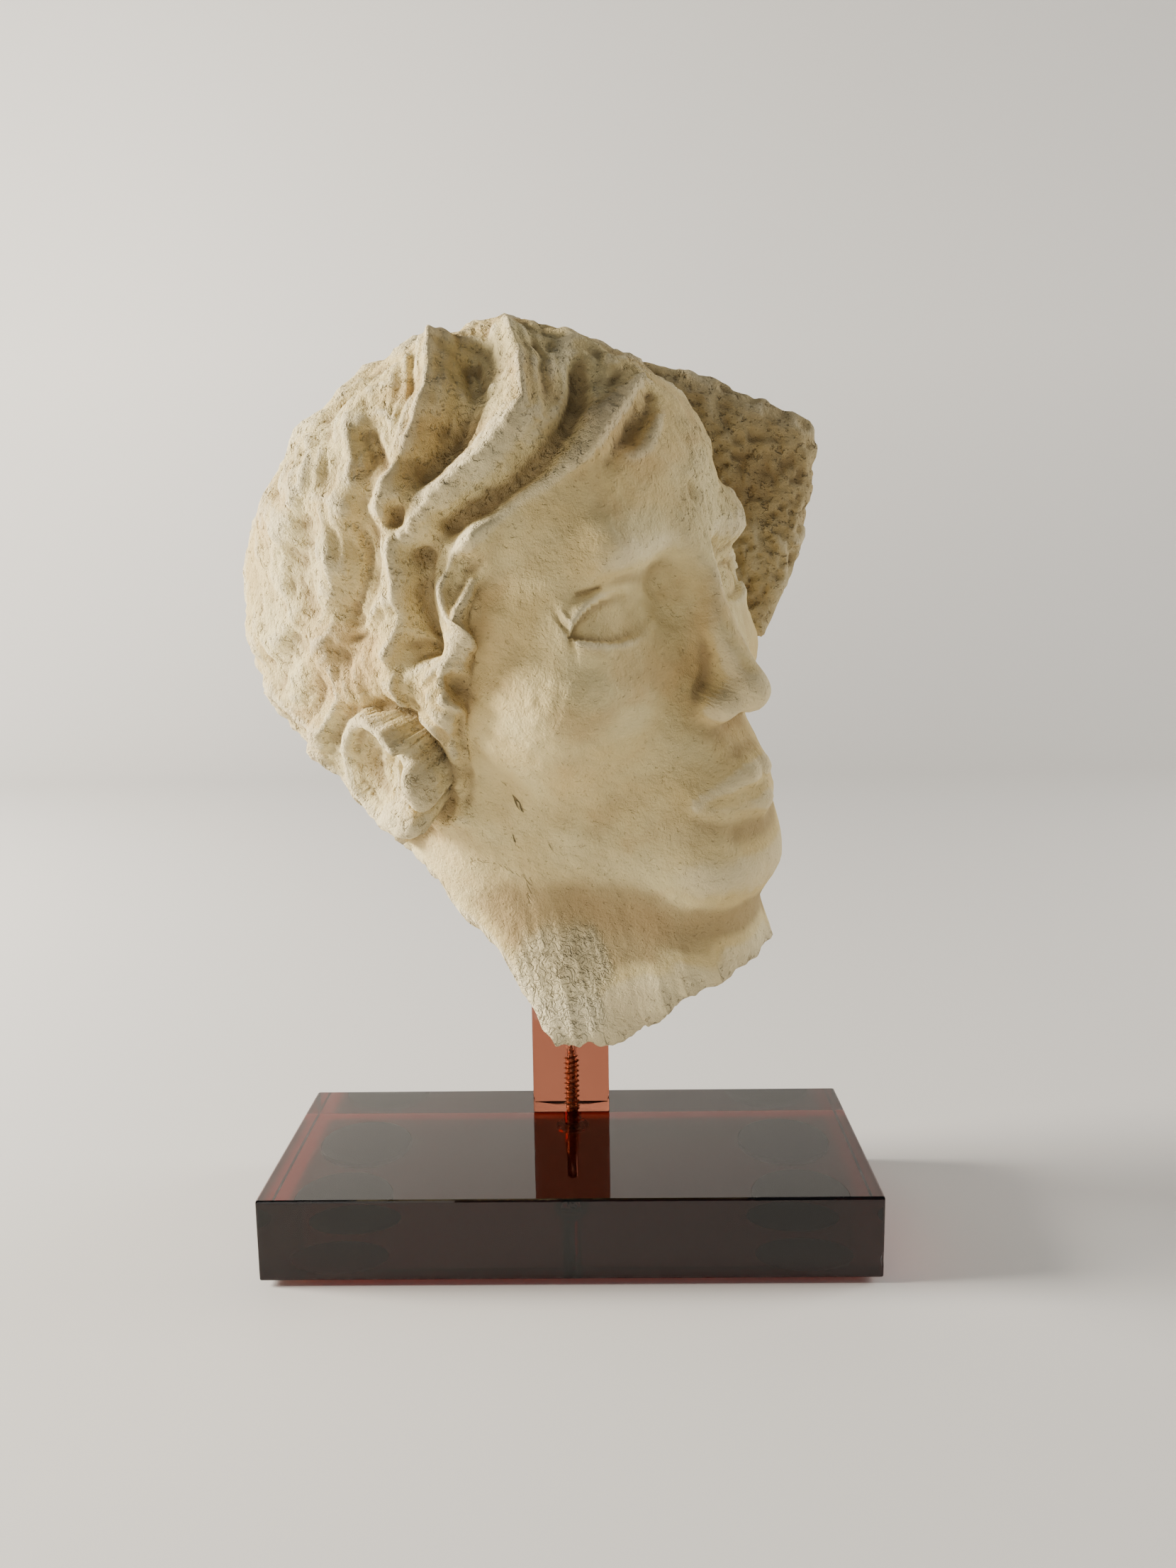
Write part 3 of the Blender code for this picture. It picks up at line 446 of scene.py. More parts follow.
def lockRelief(p):
    # bell-shaped swellings along each lock's line, and rows of worn locks beyond them:
    # the sine of the angle round the whorl, bent by the distance from it
    sizes = hairSizes
    x, y, z = toFront(p)
    relief = np.zeros(x.shape)
    nearest = np.full(x.shape, sizes["farthest"])
    for height, halfWidth, points in hairLocks:
        gap = lineGap(x, z, points)
        relief = relief + sizes["lockShare"] * height * np.exp(-((gap / halfWidth) ** 2))
        nearest = np.minimum(nearest, gap)
    relief = relief * smoothStep(*sizes["lockFade"], y)
    # strands beside the nearest lock: the cosine of the distance from its line
    fade = np.exp(-((nearest / sizes["strandReach"]) ** 2)) * (0.55 + 0.45 * bumps(p, 14.0, 51))
    strands = np.cos((nearest + 0.8 * bumps(p, 9.0, 52)) * sizes["strandWave"])
    relief = relief + sizes["strandHeight"] * fade * strands
    whorl = sizes["whorl"]
    outX, outY = p[0] - whorl[0], p[1] - whorl[1]
    run = lengthOf(outX, outY, p[2] - whorl[2])
    bend = sizes["rowBend"] * run + 0.9 * bumps(p, 40.0, 3)
    crest = np.sin(sizes["rows"] * (np.arctan2(outX, -outY) + bend))
    crest = crest * (0.7 + 0.3 * np.sin(0.11 * run + 2.0 * crest))
    beyond = 1.0 - np.exp(-(((x + 5) / 74) ** 2) - ((z - 38) / 76) ** 2)
    relief = relief + sizes["rowHeight"] * crest * beyond * smoothStep(5, 40, run)
    relief = relief + ground(p, hairGround)
    # none on the ear, which stands clear of the hair
    forward, up, _ = earFrame((np.abs(p[0]), p[1], p[2]))
    fromEar = lengthOf(forward, up) / earSizes["hairGap"]
    return relief * smoothStep(0.95, 1.2, fromEar)


def wornSurface(p, inHair):
    # fine lumps and pits left by weathering: strong in the hair, faint on the skin
    pits = openings(p, 5.0, 24, 0.45) + openings(p, 2.6, 25, 0.5)
    rough = ground(p, wornGround) - 1.6 * pits
    return rough * inHair + ground(p, skinGround) * (1.0 - inHair)


def brokenStone(spot):
    # a break's face: broad facets, lumps, and the pits of loose grains, with clumps of
    # the broken hair behind the ear
    clumps = 3.0 * bumps(spot, 10.0, 62) * smoothStep(-112, -96, spot[2])
    return ground(spot, brokenGround) + clumps - 1.8 * openings(spot, 3.0, 33, 0.35)


def gridNormals(points, rings, around):
    # outward directions of a grid of rings: across the line along each ring and the line
    # from ring to ring
    grid = [axis[:rings * around].reshape(rings, around) for axis in points]
    across = [np.roll(axis, -1, axis=1) - np.roll(axis, 1, axis=1) for axis in grid]
    down = [np.gradient(axis, axis=0) for axis in grid]
    normal = [down[1] * across[2] - down[2] * across[1],
              down[2] * across[0] - down[0] * across[2],
              down[0] * across[1] - down[1] * across[0]]
    size = np.maximum(lengthOf(*normal), 1e-9)
    return [axis / size for axis in normal]


def headRadius(ray, rings, around):
    # distance from the core to the broken head's surface along rays, with the shares of
    # hair and broken stone and the distance to cracks and seams at each point; the relief
    # stands on the smooth surface, so the rays turn a little and are given back too
    core = headSizes["core"]
    radius = outerWall(ray)
    surface = tuple(core[i] + radius * ray[i] for i in range(3))
    inHair = hairShare(surface)
    frontX, frontY, frontZ = toFront(surface)
    wander = bumps(surface, 9.0, 41)
    facesViewer = smoothStep(14, 0, frontY)
    scar = patchShare(frontX, frontZ, neckScar, wander) * facesViewer
    strip = smoothStep(16, 9, lineGap(frontX, frontZ, roughStrip) + 4 * wander)
    edge = smoothStep(16, 9, lineGap(frontX, frontZ, roughEdge) + 4 * wander)
    ragged = np.maximum(strip, edge) * smoothStep(-32, -22, frontY)
    wear = np.maximum.reduce([inHair, ragged, patchShare(frontX, frontZ, browWear, wander),
                              patchShare(frontX, frontZ, lobeWear, wander)])
    relief = lockRelief(surface) * inHair * (1 - 0.6 * ragged) + wornSurface(surface, wear)
    relief = relief + 0.8 * ragged * brokenStone(surface)
    relief = relief + scar * (0.9 * np.abs(bumps(surface, 3.4, 42)) - 0.8)
    normal = gridNormals(surface, rings, around)
    toward = [np.concatenate((normal[i].ravel(), ray[i][-2:])) for i in range(3)]
    surface = tuple(surface[i] + relief * toward[i] for i in range(3))
    out = [surface[i] - core[i] for i in range(3)]
    radius = lengthOf(*out)
    ray = tuple(axis / radius for axis in out)
    cracks = np.minimum.reduce([lineGap(frontX, frontZ, line) for line in jawCracks])
    cracks = np.abs(cracks + 1.6 * bumps(surface, 6.0, 43)) + 50.0 * (1.0 - facesViewer)
    seams = np.minimum.reduce([lineGap(frontX, frontZ, line) for line in patchSeams])
    seams = np.abs(seams + 0.8 * bumps(surface, 9.0, 44)) + 50.0 * (1.0 - facesViewer)
    broken = 0.75 * ragged
    frontCore, frontRay = toFront(core), toFront(ray)
    for group in stoneBreaks:
        wall = np.zeros(radius.shape)
        for point, normal in group:
            size = math.sqrt(sum(side * side for side in normal))
            facing = np.maximum(sum(normal[i] * frontRay[i] for i in range(3)) / size, 0.02)
            depth = sum(normal[i] * (point[i] - frontCore[i]) for i in range(3)) / size
            reach = np.minimum(depth / facing, headSizes["reach"])
            spot = tuple(frontCore[i] + reach * frontRay[i] for i in range(3))
            wall = np.maximum(wall, (depth + brokenStone(spot)) / facing)
        broken = np.where(wall < radius, 1.0, broken)
        radius = np.minimum(radius, wall)
    # the back, broken nearly flat and bonded to the post
    depth = (headSizes["forward"] - headSizes["bondGap"]) / headUnit - frontCore[1]
    facing = np.maximum(frontRay[1], 0.01)
    spot = tuple(frontCore[i] + depth / facing * frontRay[i] for i in range(3))
    fromPost = lengthOf(np.maximum(np.abs(spot[0] + 18) - 24, 0), np.maximum(spot[2] + 60, 0))
    hollow = 1.2 * smoothStep(0, 14, fromPost) * (1.0 + bumps(spot, 11.0, 36))
    hollow = hollow + 0.8 * smoothStep(0, 10, fromPost) * (1.0 + bumps(spot, 3.2, 37))
    back = np.where(frontRay[1] > 0.01, (depth - hollow) / facing, headSizes["reach"])
    broken = np.where(back < radius, 1.0, broken)
    shares = {"hair": wear * (1.0 - broken), "broken": broken, "scar": scar,
              "crackGap": np.minimum(cracks, 20.0), "seamGap": np.minimum(seams, 20.0)}
    return ray, np.minimum(radius, back), shares


def crowded(count, low, high, closed, crowds):
    # values from low to high, closer together round each (value, spread, strength)
    fine = np.linspace(low, high, 2001)
    density = np.ones(fine.shape)
    for centre, spread, strength in crowds:
        gap = fine - centre
        if closed:
            gap = (gap + math.pi) % (2 * math.pi) - math.pi
        density = density + strength * np.exp(-((gap / spread) ** 2))
    total = np.concatenate(((0.0,), np.cumsum((density[1:] + density[:-1]) / 2)))
    wanted = np.arange(count) / (count if closed else count - 1)
    return np.interp(wanted * total[-1], total, fine)


def ringFaces(rings, around):
    # quads between neighbouring rings, and fans to a first and a last pole point
    column = np.arange(around)
    beside = (column + 1) % around
    start = (np.arange(rings - 1) * around)[:, None]
    quads = np.stack((start + column, start + around + column,
                      start + around + beside, start + beside), axis=2).reshape(-1, 4)
    top, bottom = rings * around, rings * around + 1
    last = (rings - 1) * around
    firstFan = np.stack((np.full(around, top), column, beside), axis=1)
    lastFan = np.stack((np.full(around, bottom), last + beside, last + column), axis=1)
    return quads, np.concatenate((firstFan, lastFan))


def putMesh(name, points, quads, triangles):
    # arrays straight into a mesh, shaded smooth
    mesh = bpy.data.meshes.new(name)
    loops = np.concatenate((quads.ravel(), triangles.ravel())).astype(np.int32)
    sizes = np.concatenate((np.full(len(quads), 4), np.full(len(triangles), 3)))
    starts = np.concatenate(((0,), np.cumsum(sizes)[:-1])).astype(np.int32)
    mesh.vertices.add(len(points))
    mesh.vertices.foreach_set("co", np.asarray(points, np.float32).ravel())
    mesh.loops.add(len(loops))
    mesh.loops.foreach_set("vertex_index", loops)
    mesh.polygons.add(len(sizes))
    mesh.polygons.foreach_set("loop_start", starts)
    mesh.update(calc_edges=True)
    mesh.shade_smooth()
    piece = bpy.data.objects.new(name, mesh)
    bpy.context.collection.objects.link(piece)
    return piece


def storeShare(piece, name, values):
    layer = piece.data.attributes.new(name, "FLOAT", "POINT")
    layer.data.foreach_set("value", np.asarray(values, np.float32))


def blurRings(values, times):
    # mean of each grid point and its four neighbours, repeated
    for _ in range(times):
        up = np.vstack((values[:1], values[:-1]))
        down = np.vstack((values[1:], values[-1:]))
        side = np.roll(values, 1, axis=1) + np.roll(values, -1, axis=1)
        values = (values + up + down + side) / 5.0
    return values


def stumpReach(angle):
    # distance from the stump's middle to its outline in each direction
    middleX, middleZ = stumpSizes["middle"]
    reach = np.full(angle.shape, headSizes["reach"])
    points = stumpSizes["outline"]
    for (x0, z0), (x1, z1) in zip(points, points[1:] + points[:1]):
        run = math.hypot(x1 - x0, z1 - z0)
        inset = ((x1 - x0) * (middleZ - z0) - (z1 - z0) * (middleX - x0)) / run
        outward = ((x1 - x0) * np.sin(angle) - (z1 - z0) * np.cos(angle)) / run
        near = -inset / np.maximum(outward, 1e-3)
        reach = np.where(outward > 1e-3, np.minimum(reach, near), reach)
    return reach


def spongyStone(spot):
    # coarse rough ground: lumps less the round openings between coarse grains
    pits = 3.6 * openings(spot, 5.2, 35, 0.12) + 2.4 * openings(spot, 3.2, 39, 0.15)
    return ground(spot, spongyGround) - np.minimum(pits, 4.0)


def stumpShell():
    # rings from the middle of the rough face to its rounded rim, back along the sides,
    # and in over the back
    sizes = stumpSizes
    middleX, middleZ = sizes["middle"]
    angle = np.arange(sizes["around"]) / sizes["around"] * 2 * math.pi
    back = (headSizes["forward"] - headSizes["bondGap"]) / headUnit - sizes["backStep"]
    front, bend = sizes["front"], sizes["round"]
    run = np.linspace(0.0, 1.0, sizes["faceRings"] + 1)[1:] ** sizes["faceCrowd"]
    side = np.linspace(0.0, 1.0, sizes["sideRings"] + 1)[1:]
    under = np.linspace(1.0, 0.0, sizes["backRings"] + 1)[1:-1]
    rim = run ** sizes["rimPower"]
    share = np.concatenate((run, np.ones(side.shape), under))[:, None]
    depth = np.concatenate((front + bend * rim, front + bend + side * (back - front - bend),
                            np.full(under.shape, back)))[:, None]
    turned = np.concatenate((sizes["rimTurn"] * rim, np.ones(side.shape),
                             np.zeros(under.shape)))[:, None]
    reach = share * stumpReach(angle)
    x = middleX + reach * np.cos(angle)
    z = middleZ + reach * np.sin(angle)
    depth = np.broadcast_to(depth, x.shape)
    # the back is broken too: lower than the head's, with a rounded rim
    nearBack = smoothStep(back - sizes["backRound"], back, depth)
    spot = (x, depth, z)
    hollowBack = sizes["backHollow"] + 1.8 * bumps(spot, 12.0, 36) + 1.0 * bumps(spot, 4.0, 37)
    hollowBack = hollowBack + 3.0 * openings(spot, 3.4, 54, 0.3)
    rough = spongyStone(spot) * (1.0 - nearBack)
    outward = turned * (rough - sizes["backInset"] * nearBack)
    x = x + outward * np.cos(angle)
    z = z + outward * np.sin(angle)
    y = depth - (1.0 - turned) * rough - nearBack * np.maximum(hollowBack, 0.5)
    ends = [(middleX, end, middleZ) for end in (front, back)]
    hollow = np.clip(0.5 - 0.16 * rough, 0.0, 1.0)
    points = np.concatenate((np.stack((x, y, z), axis=2).reshape(-1, 3), ends))
    return points, len(share), np.concatenate((hollow.ravel(), (0.5, 0.5)))


def makeHead():
    # rings of rays from the crown's pole to the neck's pole; angle 0 looks to the face
    around, rings = headSizes["around"], headSizes["down"] - 2
    side = crowded(around, -math.pi, math.pi, True, headSizes["aroundCrowds"])
    fall = crowded(rings + 2, 0.0, math.pi, False, headSizes["downCrowds"])
    turn, drop = np.meshgrid(side, fall[1:-1])
    ray = [np.sin(drop) * np.sin(turn), -np.sin(drop) * np.cos(turn), np.cos(drop)]
    ray = tuple(np.concatenate((axis.ravel(), pole)) for axis, pole in
                zip(ray, ((0.0, 0.0), (0.0, 0.0), (1.0, -1.0))))
    ray, radius, shares = headRadius(ray, rings, around)
    core = headSizes["core"]
    front = toFront(tuple(core[i] + radius * ray[i] for i in range(3)))
    # hollows: how far each point lies below the mean of its surroundings; the colour is darkened
    # there as dirt and painted shade
    grid = radius[:-2].reshape(rings, around)
    near = blurRings(grid, 8) - grid
    wide = blurRings(grid, 60) - grid
    hollow = np.clip(0.5 + 0.30 * near + 0.06 * wide, 0.0, 1.0)
    hollow = np.concatenate((hollow.ravel(), (0.5, 0.5)))
    # the stump's own closed shell, sunk into the head's
    stumpPoints, stumpRings, stumpHollow = stumpShell()
    quads, triangles = ringFaces(rings, around)
    moreQuads, moreTriangles = ringFaces(stumpRings, stumpSizes["around"])
    place = (slabMiddle + headSizes["side"], postLow.y - headSizes["forward"],
             slabHigh.z + headSizes["rise"])
    points = np.concatenate((np.stack(front, axis=1), stumpPoints)) * headUnit + np.array(place)
    piece = putMesh("headStone", points, np.concatenate((quads, moreQuads + len(radius))),
                    np.concatenate((triangles, moreTriangles + len(radius))))
    onStump = {"hair": 0.0, "broken": 1.0, "scar": 0.0, "crackGap": 20.0, "seamGap": 20.0}
    storeShare(piece, "hollow", np.concatenate((hollow, stumpHollow)))
    for name, values in shares.items():
        storeShare(piece, name, np.concatenate((values, np.full(len(stumpPoints), onStump[name]))))
    storeShare(piece, "stump", np.concatenate((np.zeros(len(radius)), np.ones(len(stumpPoints)))))
    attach(piece, "root")
    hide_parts("head")
    print("head:", len(piece.data.polygons), "faces")
    return piece


def makeScrew():
    # a thread: radius = core + (crest - core) * ridge(height / pitch - angle / full turn),
    # narrowed to the point; below it the plain shank and the flat head with a cross slot
    sizes = screwSizes
    axisX, axisY = (screwLow.x + screwHigh.x) / 2, (screwLow.y + screwHigh.y) / 2
    headRadiusOut = (screwHigh.x - screwLow.x) / 2
    bottom, tip = screwLow.z, screwHigh.z
    angle = np.arange(sizes["around"]) / sizes["around"] * 2 * math.pi
    rimTop = bottom + sizes["rim"]
    shankStart = rimTop + headRadiusOut - sizes["coreRadius"]
    threadStart = shankStart + sizes["shank"]
    turns = (tip - threadStart) / sizes["pitch"]
    heights = np.linspace(threadStart, tip, int(turns * sizes["rowsPerTurn"]))
    phase = heights[:, None] / sizes["pitch"] - angle[None, :] / (2 * math.pi)
    ridge = np.clip(1.0 - np.abs((phase % 1.0) - 0.5) * 5.0, 0.0, 1.0)
    rise = smoothStep(threadStart, threadStart + sizes["runOut"], heights)[:, None]
    taper = np.clip((tip - heights) / sizes["taper"], 0.03, 1.0)[:, None]
    core = sizes["coreRadius"] * taper ** 0.8
    crest = (sizes["threadRadius"] - sizes["coreRadius"]) * ridge * rise * taper ** 0.5
    threadRows = core + crest
    # shank, cone and rim, then rings inwards over the flat head
    lowHeights = np.array((bottom, rimTop, shankStart, threadStart))
    lowRadii = np.array((headRadiusOut, headRadiusOut, sizes["coreRadius"], sizes["coreRadius"]))
    faceRadii = np.linspace(0.0002, headRadiusOut * 0.985, sizes["faceRings"])
    faceX = faceRadii[:, None] * np.cos(angle)
    faceY = faceRadii[:, None] * np.sin(angle)
    longHalf, shortHalf = sizes["slotLength"] / 2, sizes["slotWidth"] / 2
    soft = sizes["slotSoft"]
    arms = [smoothStep(longHalf, longHalf - soft, np.abs(along)) *
            smoothStep(shortHalf + soft, shortHalf, np.abs(beside))
            for along, beside in ((faceX, faceY), (faceY, faceX))]
    slotRise = sizes["slotDepth"] * np.maximum(*arms)
    radii = np.concatenate((np.broadcast_to(faceRadii[:, None], faceX.shape),
                            np.broadcast_to(lowRadii[:, None], (4, len(angle))), threadRows))
    levels = np.concatenate((bottom + slotRise,
                             np.broadcast_to(lowHeights[:, None], (4, len(angle))),
                             np.broadcast_to(heights[:, None], threadRows.shape)))
    x = axisX + radii * np.cos(angle)
    y = axisY + radii * np.sin(angle)
    points = np.stack((x, y, levels), axis=2).reshape(-1, 3)
    poles = np.array(((axisX, axisY, bottom + sizes["slotDepth"]), (axisX, axisY, tip)))
    quads, fans = ringFaces(len(radii), len(angle))
    piece = putMesh("screwThread", np.concatenate((points, poles)), quads[:, ::-1], fans[:, ::-1])
    piece.data.set_sharp_from_angle(angle=math.radians(sizes["sharp"]))
    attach(piece, "root")
    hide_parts("screw")
    print("screw:", len(piece.data.polygons), "faces")
    return piece


def postOutline(angle, halfX, halfY, inset):
    # rounded rectangle: distance from the axis = (|cos/a|^n + |sin/b|^n) ^ (-1/n)
    power = postSizes["cornerPower"]
    across = np.abs(np.cos(angle) / (halfX - inset)) ** power
    deep = np.abs(np.sin(angle) / (halfY - inset)) ** power
    return (across + deep) ** (-1.0 / power)


def makePost():
    # rings from the middle of the top, down the outside, across the foot, up the bore
    # and along its drilled cone
    sizes = postSizes
    middleX, middleY = (postLow.x + postHigh.x) / 2, (postLow.y + postHigh.y) / 2
    halfX, halfY = (postHigh.x - postLow.x) / 2, (postHigh.y - postLow.y) / 2
    corner = math.atan2(halfY, halfX)
    spread = np.linspace(-sizes["cornerSpread"], sizes["cornerSpread"], sizes["cornerSteps"])
    angle = np.linspace(0, 2 * math.pi, sizes["around"], endpoint=False)
    angle = np.concatenate([angle] + [way + spread for way in (
        corner, math.pi - corner, math.pi + corner, 2 * math.pi - corner)])
    angle = np.unique(np.round(angle, 5))
    edge, bore = sizes["edge"], sizes["boreRadius"]
    wall = postOutline(angle, halfX, halfY, 0.0)
    inner = postOutline(angle, halfX, halfY, edge)
    soft = postOutline(angle, halfX, halfY, edge * 0.3)
    boreTop = screwHigh.z + sizes["boreSpare"]
    coneFoot = boreTop - sizes["boreCone"]
    level = np.full(angle.shape, bore)
    rings = ((inner * 0.5, postHigh.z), (inner, postHigh.z), (soft, postHigh.z - edge * 0.3),
             (wall, postHigh.z - edge), (wall, postLow.z + edge),
             (soft, postLow.z + edge * 0.3), (inner, postLow.z), (level, postLow.z),
             (level, postLow.z + edge), (level, coneFoot - edge), (level, coneFoot),
             (level * 0.5, (coneFoot + boreTop) / 2))
    points = [np.stack((middleX + radius * np.cos(angle), middleY + radius * np.sin(angle),
                        np.full(angle.shape, height)), axis=1) for radius, height in rings]
    points.append(np.array(((middleX, middleY, postHigh.z), (middleX, middleY, boreTop))))
    piece = putMesh("postClear", np.concatenate(points), *ringFaces(len(rings), len(angle)))
    piece.data.set_sharp_from_angle(angle=math.radians(sizes["sharp"]))
    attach(piece, "root")
    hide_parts("post")
    print("post:", len(piece.data.polygons), "faces")
    return piece


def makePads():
    # discs with softened rims, pressed flat against the slab's underside
    angle = np.arange(padSizes["around"]) / padSizes["around"] * 2 * math.pi
    made = []
    for number in range(1, 5):
        low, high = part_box("foot_pad_%d" % number)
        radius, edge = (high.x - low.x) / 2, padSizes["edge"]
        top = slabLow.z + padSizes["seat"]
        rings = ((radius - edge, top), (radius, top - edge), (radius, low.z + edge),
                 (radius - edge, low.z))
        middle = ((low.x + high.x) / 2, (low.y + high.y) / 2)
        points = [np.stack((middle[0] + wide * np.cos(angle), middle[1] + wide * np.sin(angle),
                            np.full(angle.shape, height)), axis=1) for wide, height in rings]
        points.append(np.array(((*middle, top), (*middle, low.z))))
        piece = putMesh("padDisc_%d" % number, np.concatenate(points),
                        *ringFaces(len(rings), len(angle)))
        piece.data.set_sharp_from_angle(angle=math.radians(padSizes["sharp"]))
        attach(piece, "root")
        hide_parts("foot_pad_%d" % number)
        made.append(piece)
    print("pads:", len(made))
    return made


def makeStudio():
    # floor that bends up into a wall: a flat run, a quarter circle and an upright run
    bend = studioSizes["bend"]
    flat = np.array(((studioSizes["front"], 0.0), (studioSizes["floorDepth"] - bend, 0.0)))
    arc = np.linspace(0.0, math.pi / 2, studioSizes["bendSteps"])[1:]
    curve = np.stack((studioSizes["floorDepth"] - bend + bend * np.sin(arc),
                      bend - bend * np.cos(arc)), axis=1)
    top = np.array(((studioSizes["floorDepth"], studioSizes["wallHeight"]),))
    profile = np.concatenate((flat, curve, top))
    across = np.array((-studioSizes["halfWidth"], studioSizes["halfWidth"]))
    x = np.broadcast_to(across, (len(profile), 2))
    y = np.broadcast_to(profile[:, :1], (len(profile), 2))
    z = np.broadcast_to(profile[:, 1:], (len(profile), 2))
    points = np.stack((x, y, z), axis=2).reshape(-1, 3)
    row = (np.arange(len(profile) - 1) * 2)[:, None]
    quads = np.concatenate((row, row + 1, row + 3, row + 2), axis=1)
    piece = putMesh("studioSweep", points, quads, np.zeros((0, 3), int))
    finish = bpy.data.materials.new("paleFloor")
    finish.use_nodes = True
    shader = finish.node_tree.nodes["Principled BSDF"]
    shader.inputs["Base Color"].default_value = (*studioSizes["floorColour"], 1.0)
    shader.inputs["Roughness"].default_value = studioSizes["floorRoughness"]
    piece.data.materials.append(finish)


class NodeBoard:
    # a short way to add and join shader nodes
    def __init__(self, name):
        self.finish = bpy.data.materials.new(name)
        self.finish.use_nodes = True
        self.tree = self.finish.node_tree
        self.shader = self.tree.nodes["Principled BSDF"]
        self.output = self.tree.nodes["Material Output"]
        self.spot = self.add("ShaderNodeTexCoord").outputs["Object"]

    def add(self, kind, **settings):
        node = self.tree.nodes.new(kind)
        for key, value in settings.items():
            setattr(node, key, value)
        return node

    def join(self, source, target):
        self.tree.links.new(source, target)

    def feed(self, node, name, value):
        if isinstance(value, bpy.types.NodeSocket):
            self.join(value, node.inputs[name])
        else:
            node.inputs[name].default_value = value

    def noise(self, scale, detail=3.0, rough=0.55, warp=0.0):
        node = self.add("ShaderNodeTexNoise")
        self.join(self.spot, node.inputs["Vector"])
        node.inputs["Scale"].default_value = scale
        node.inputs["Detail"].default_value = detail
        node.inputs["Roughness"].default_value = rough
        node.inputs["Distortion"].default_value = warp
        return node.outputs["Fac"]

    def share(self, name):
        return self.add("ShaderNodeAttribute", attribute_name=name).outputs["Fac"]

    def ramp(self, value, low, high, start=0.0, end=1.0):
        node = self.add("ShaderNodeMapRange", interpolation_type="SMOOTHSTEP")
        for name, setting in (("Value", value), ("From Min", low), ("From Max", high),
                              ("To Min", start), ("To Max", end)):
            self.feed(node, name, setting)
        return node.outputs["Result"]

    def maths(self, operation, a, b):
        node = self.add("ShaderNodeMath", operation=operation)
        self.feed(node, 0, a)
        self.feed(node, 1, b)
        return node.outputs["Value"]

    def blend(self, share, first, second, way="MIX"):
        node = self.add("ShaderNodeMix", data_type="RGBA", blend_type=way)
        self.feed(node, 0, share)
        self.feed(node, 6, first if isinstance(first, bpy.types.NodeSocket) else (*first, 1.0))
        self.feed(node, 7, second if isinstance(second, bpy.types.NodeSocket) else (*second, 1.0))
        return node.outputs[2]

    def raiseBy(self, height, distance, strength=1.0):
        node = self.add("ShaderNodeBump")
        node.inputs["Distance"].default_value = distance
        node.inputs["Strength"].default_value = strength
        self.join(height, node.inputs["Height"])
        self.join(node.outputs["Normal"], self.shader.inputs["Normal"])


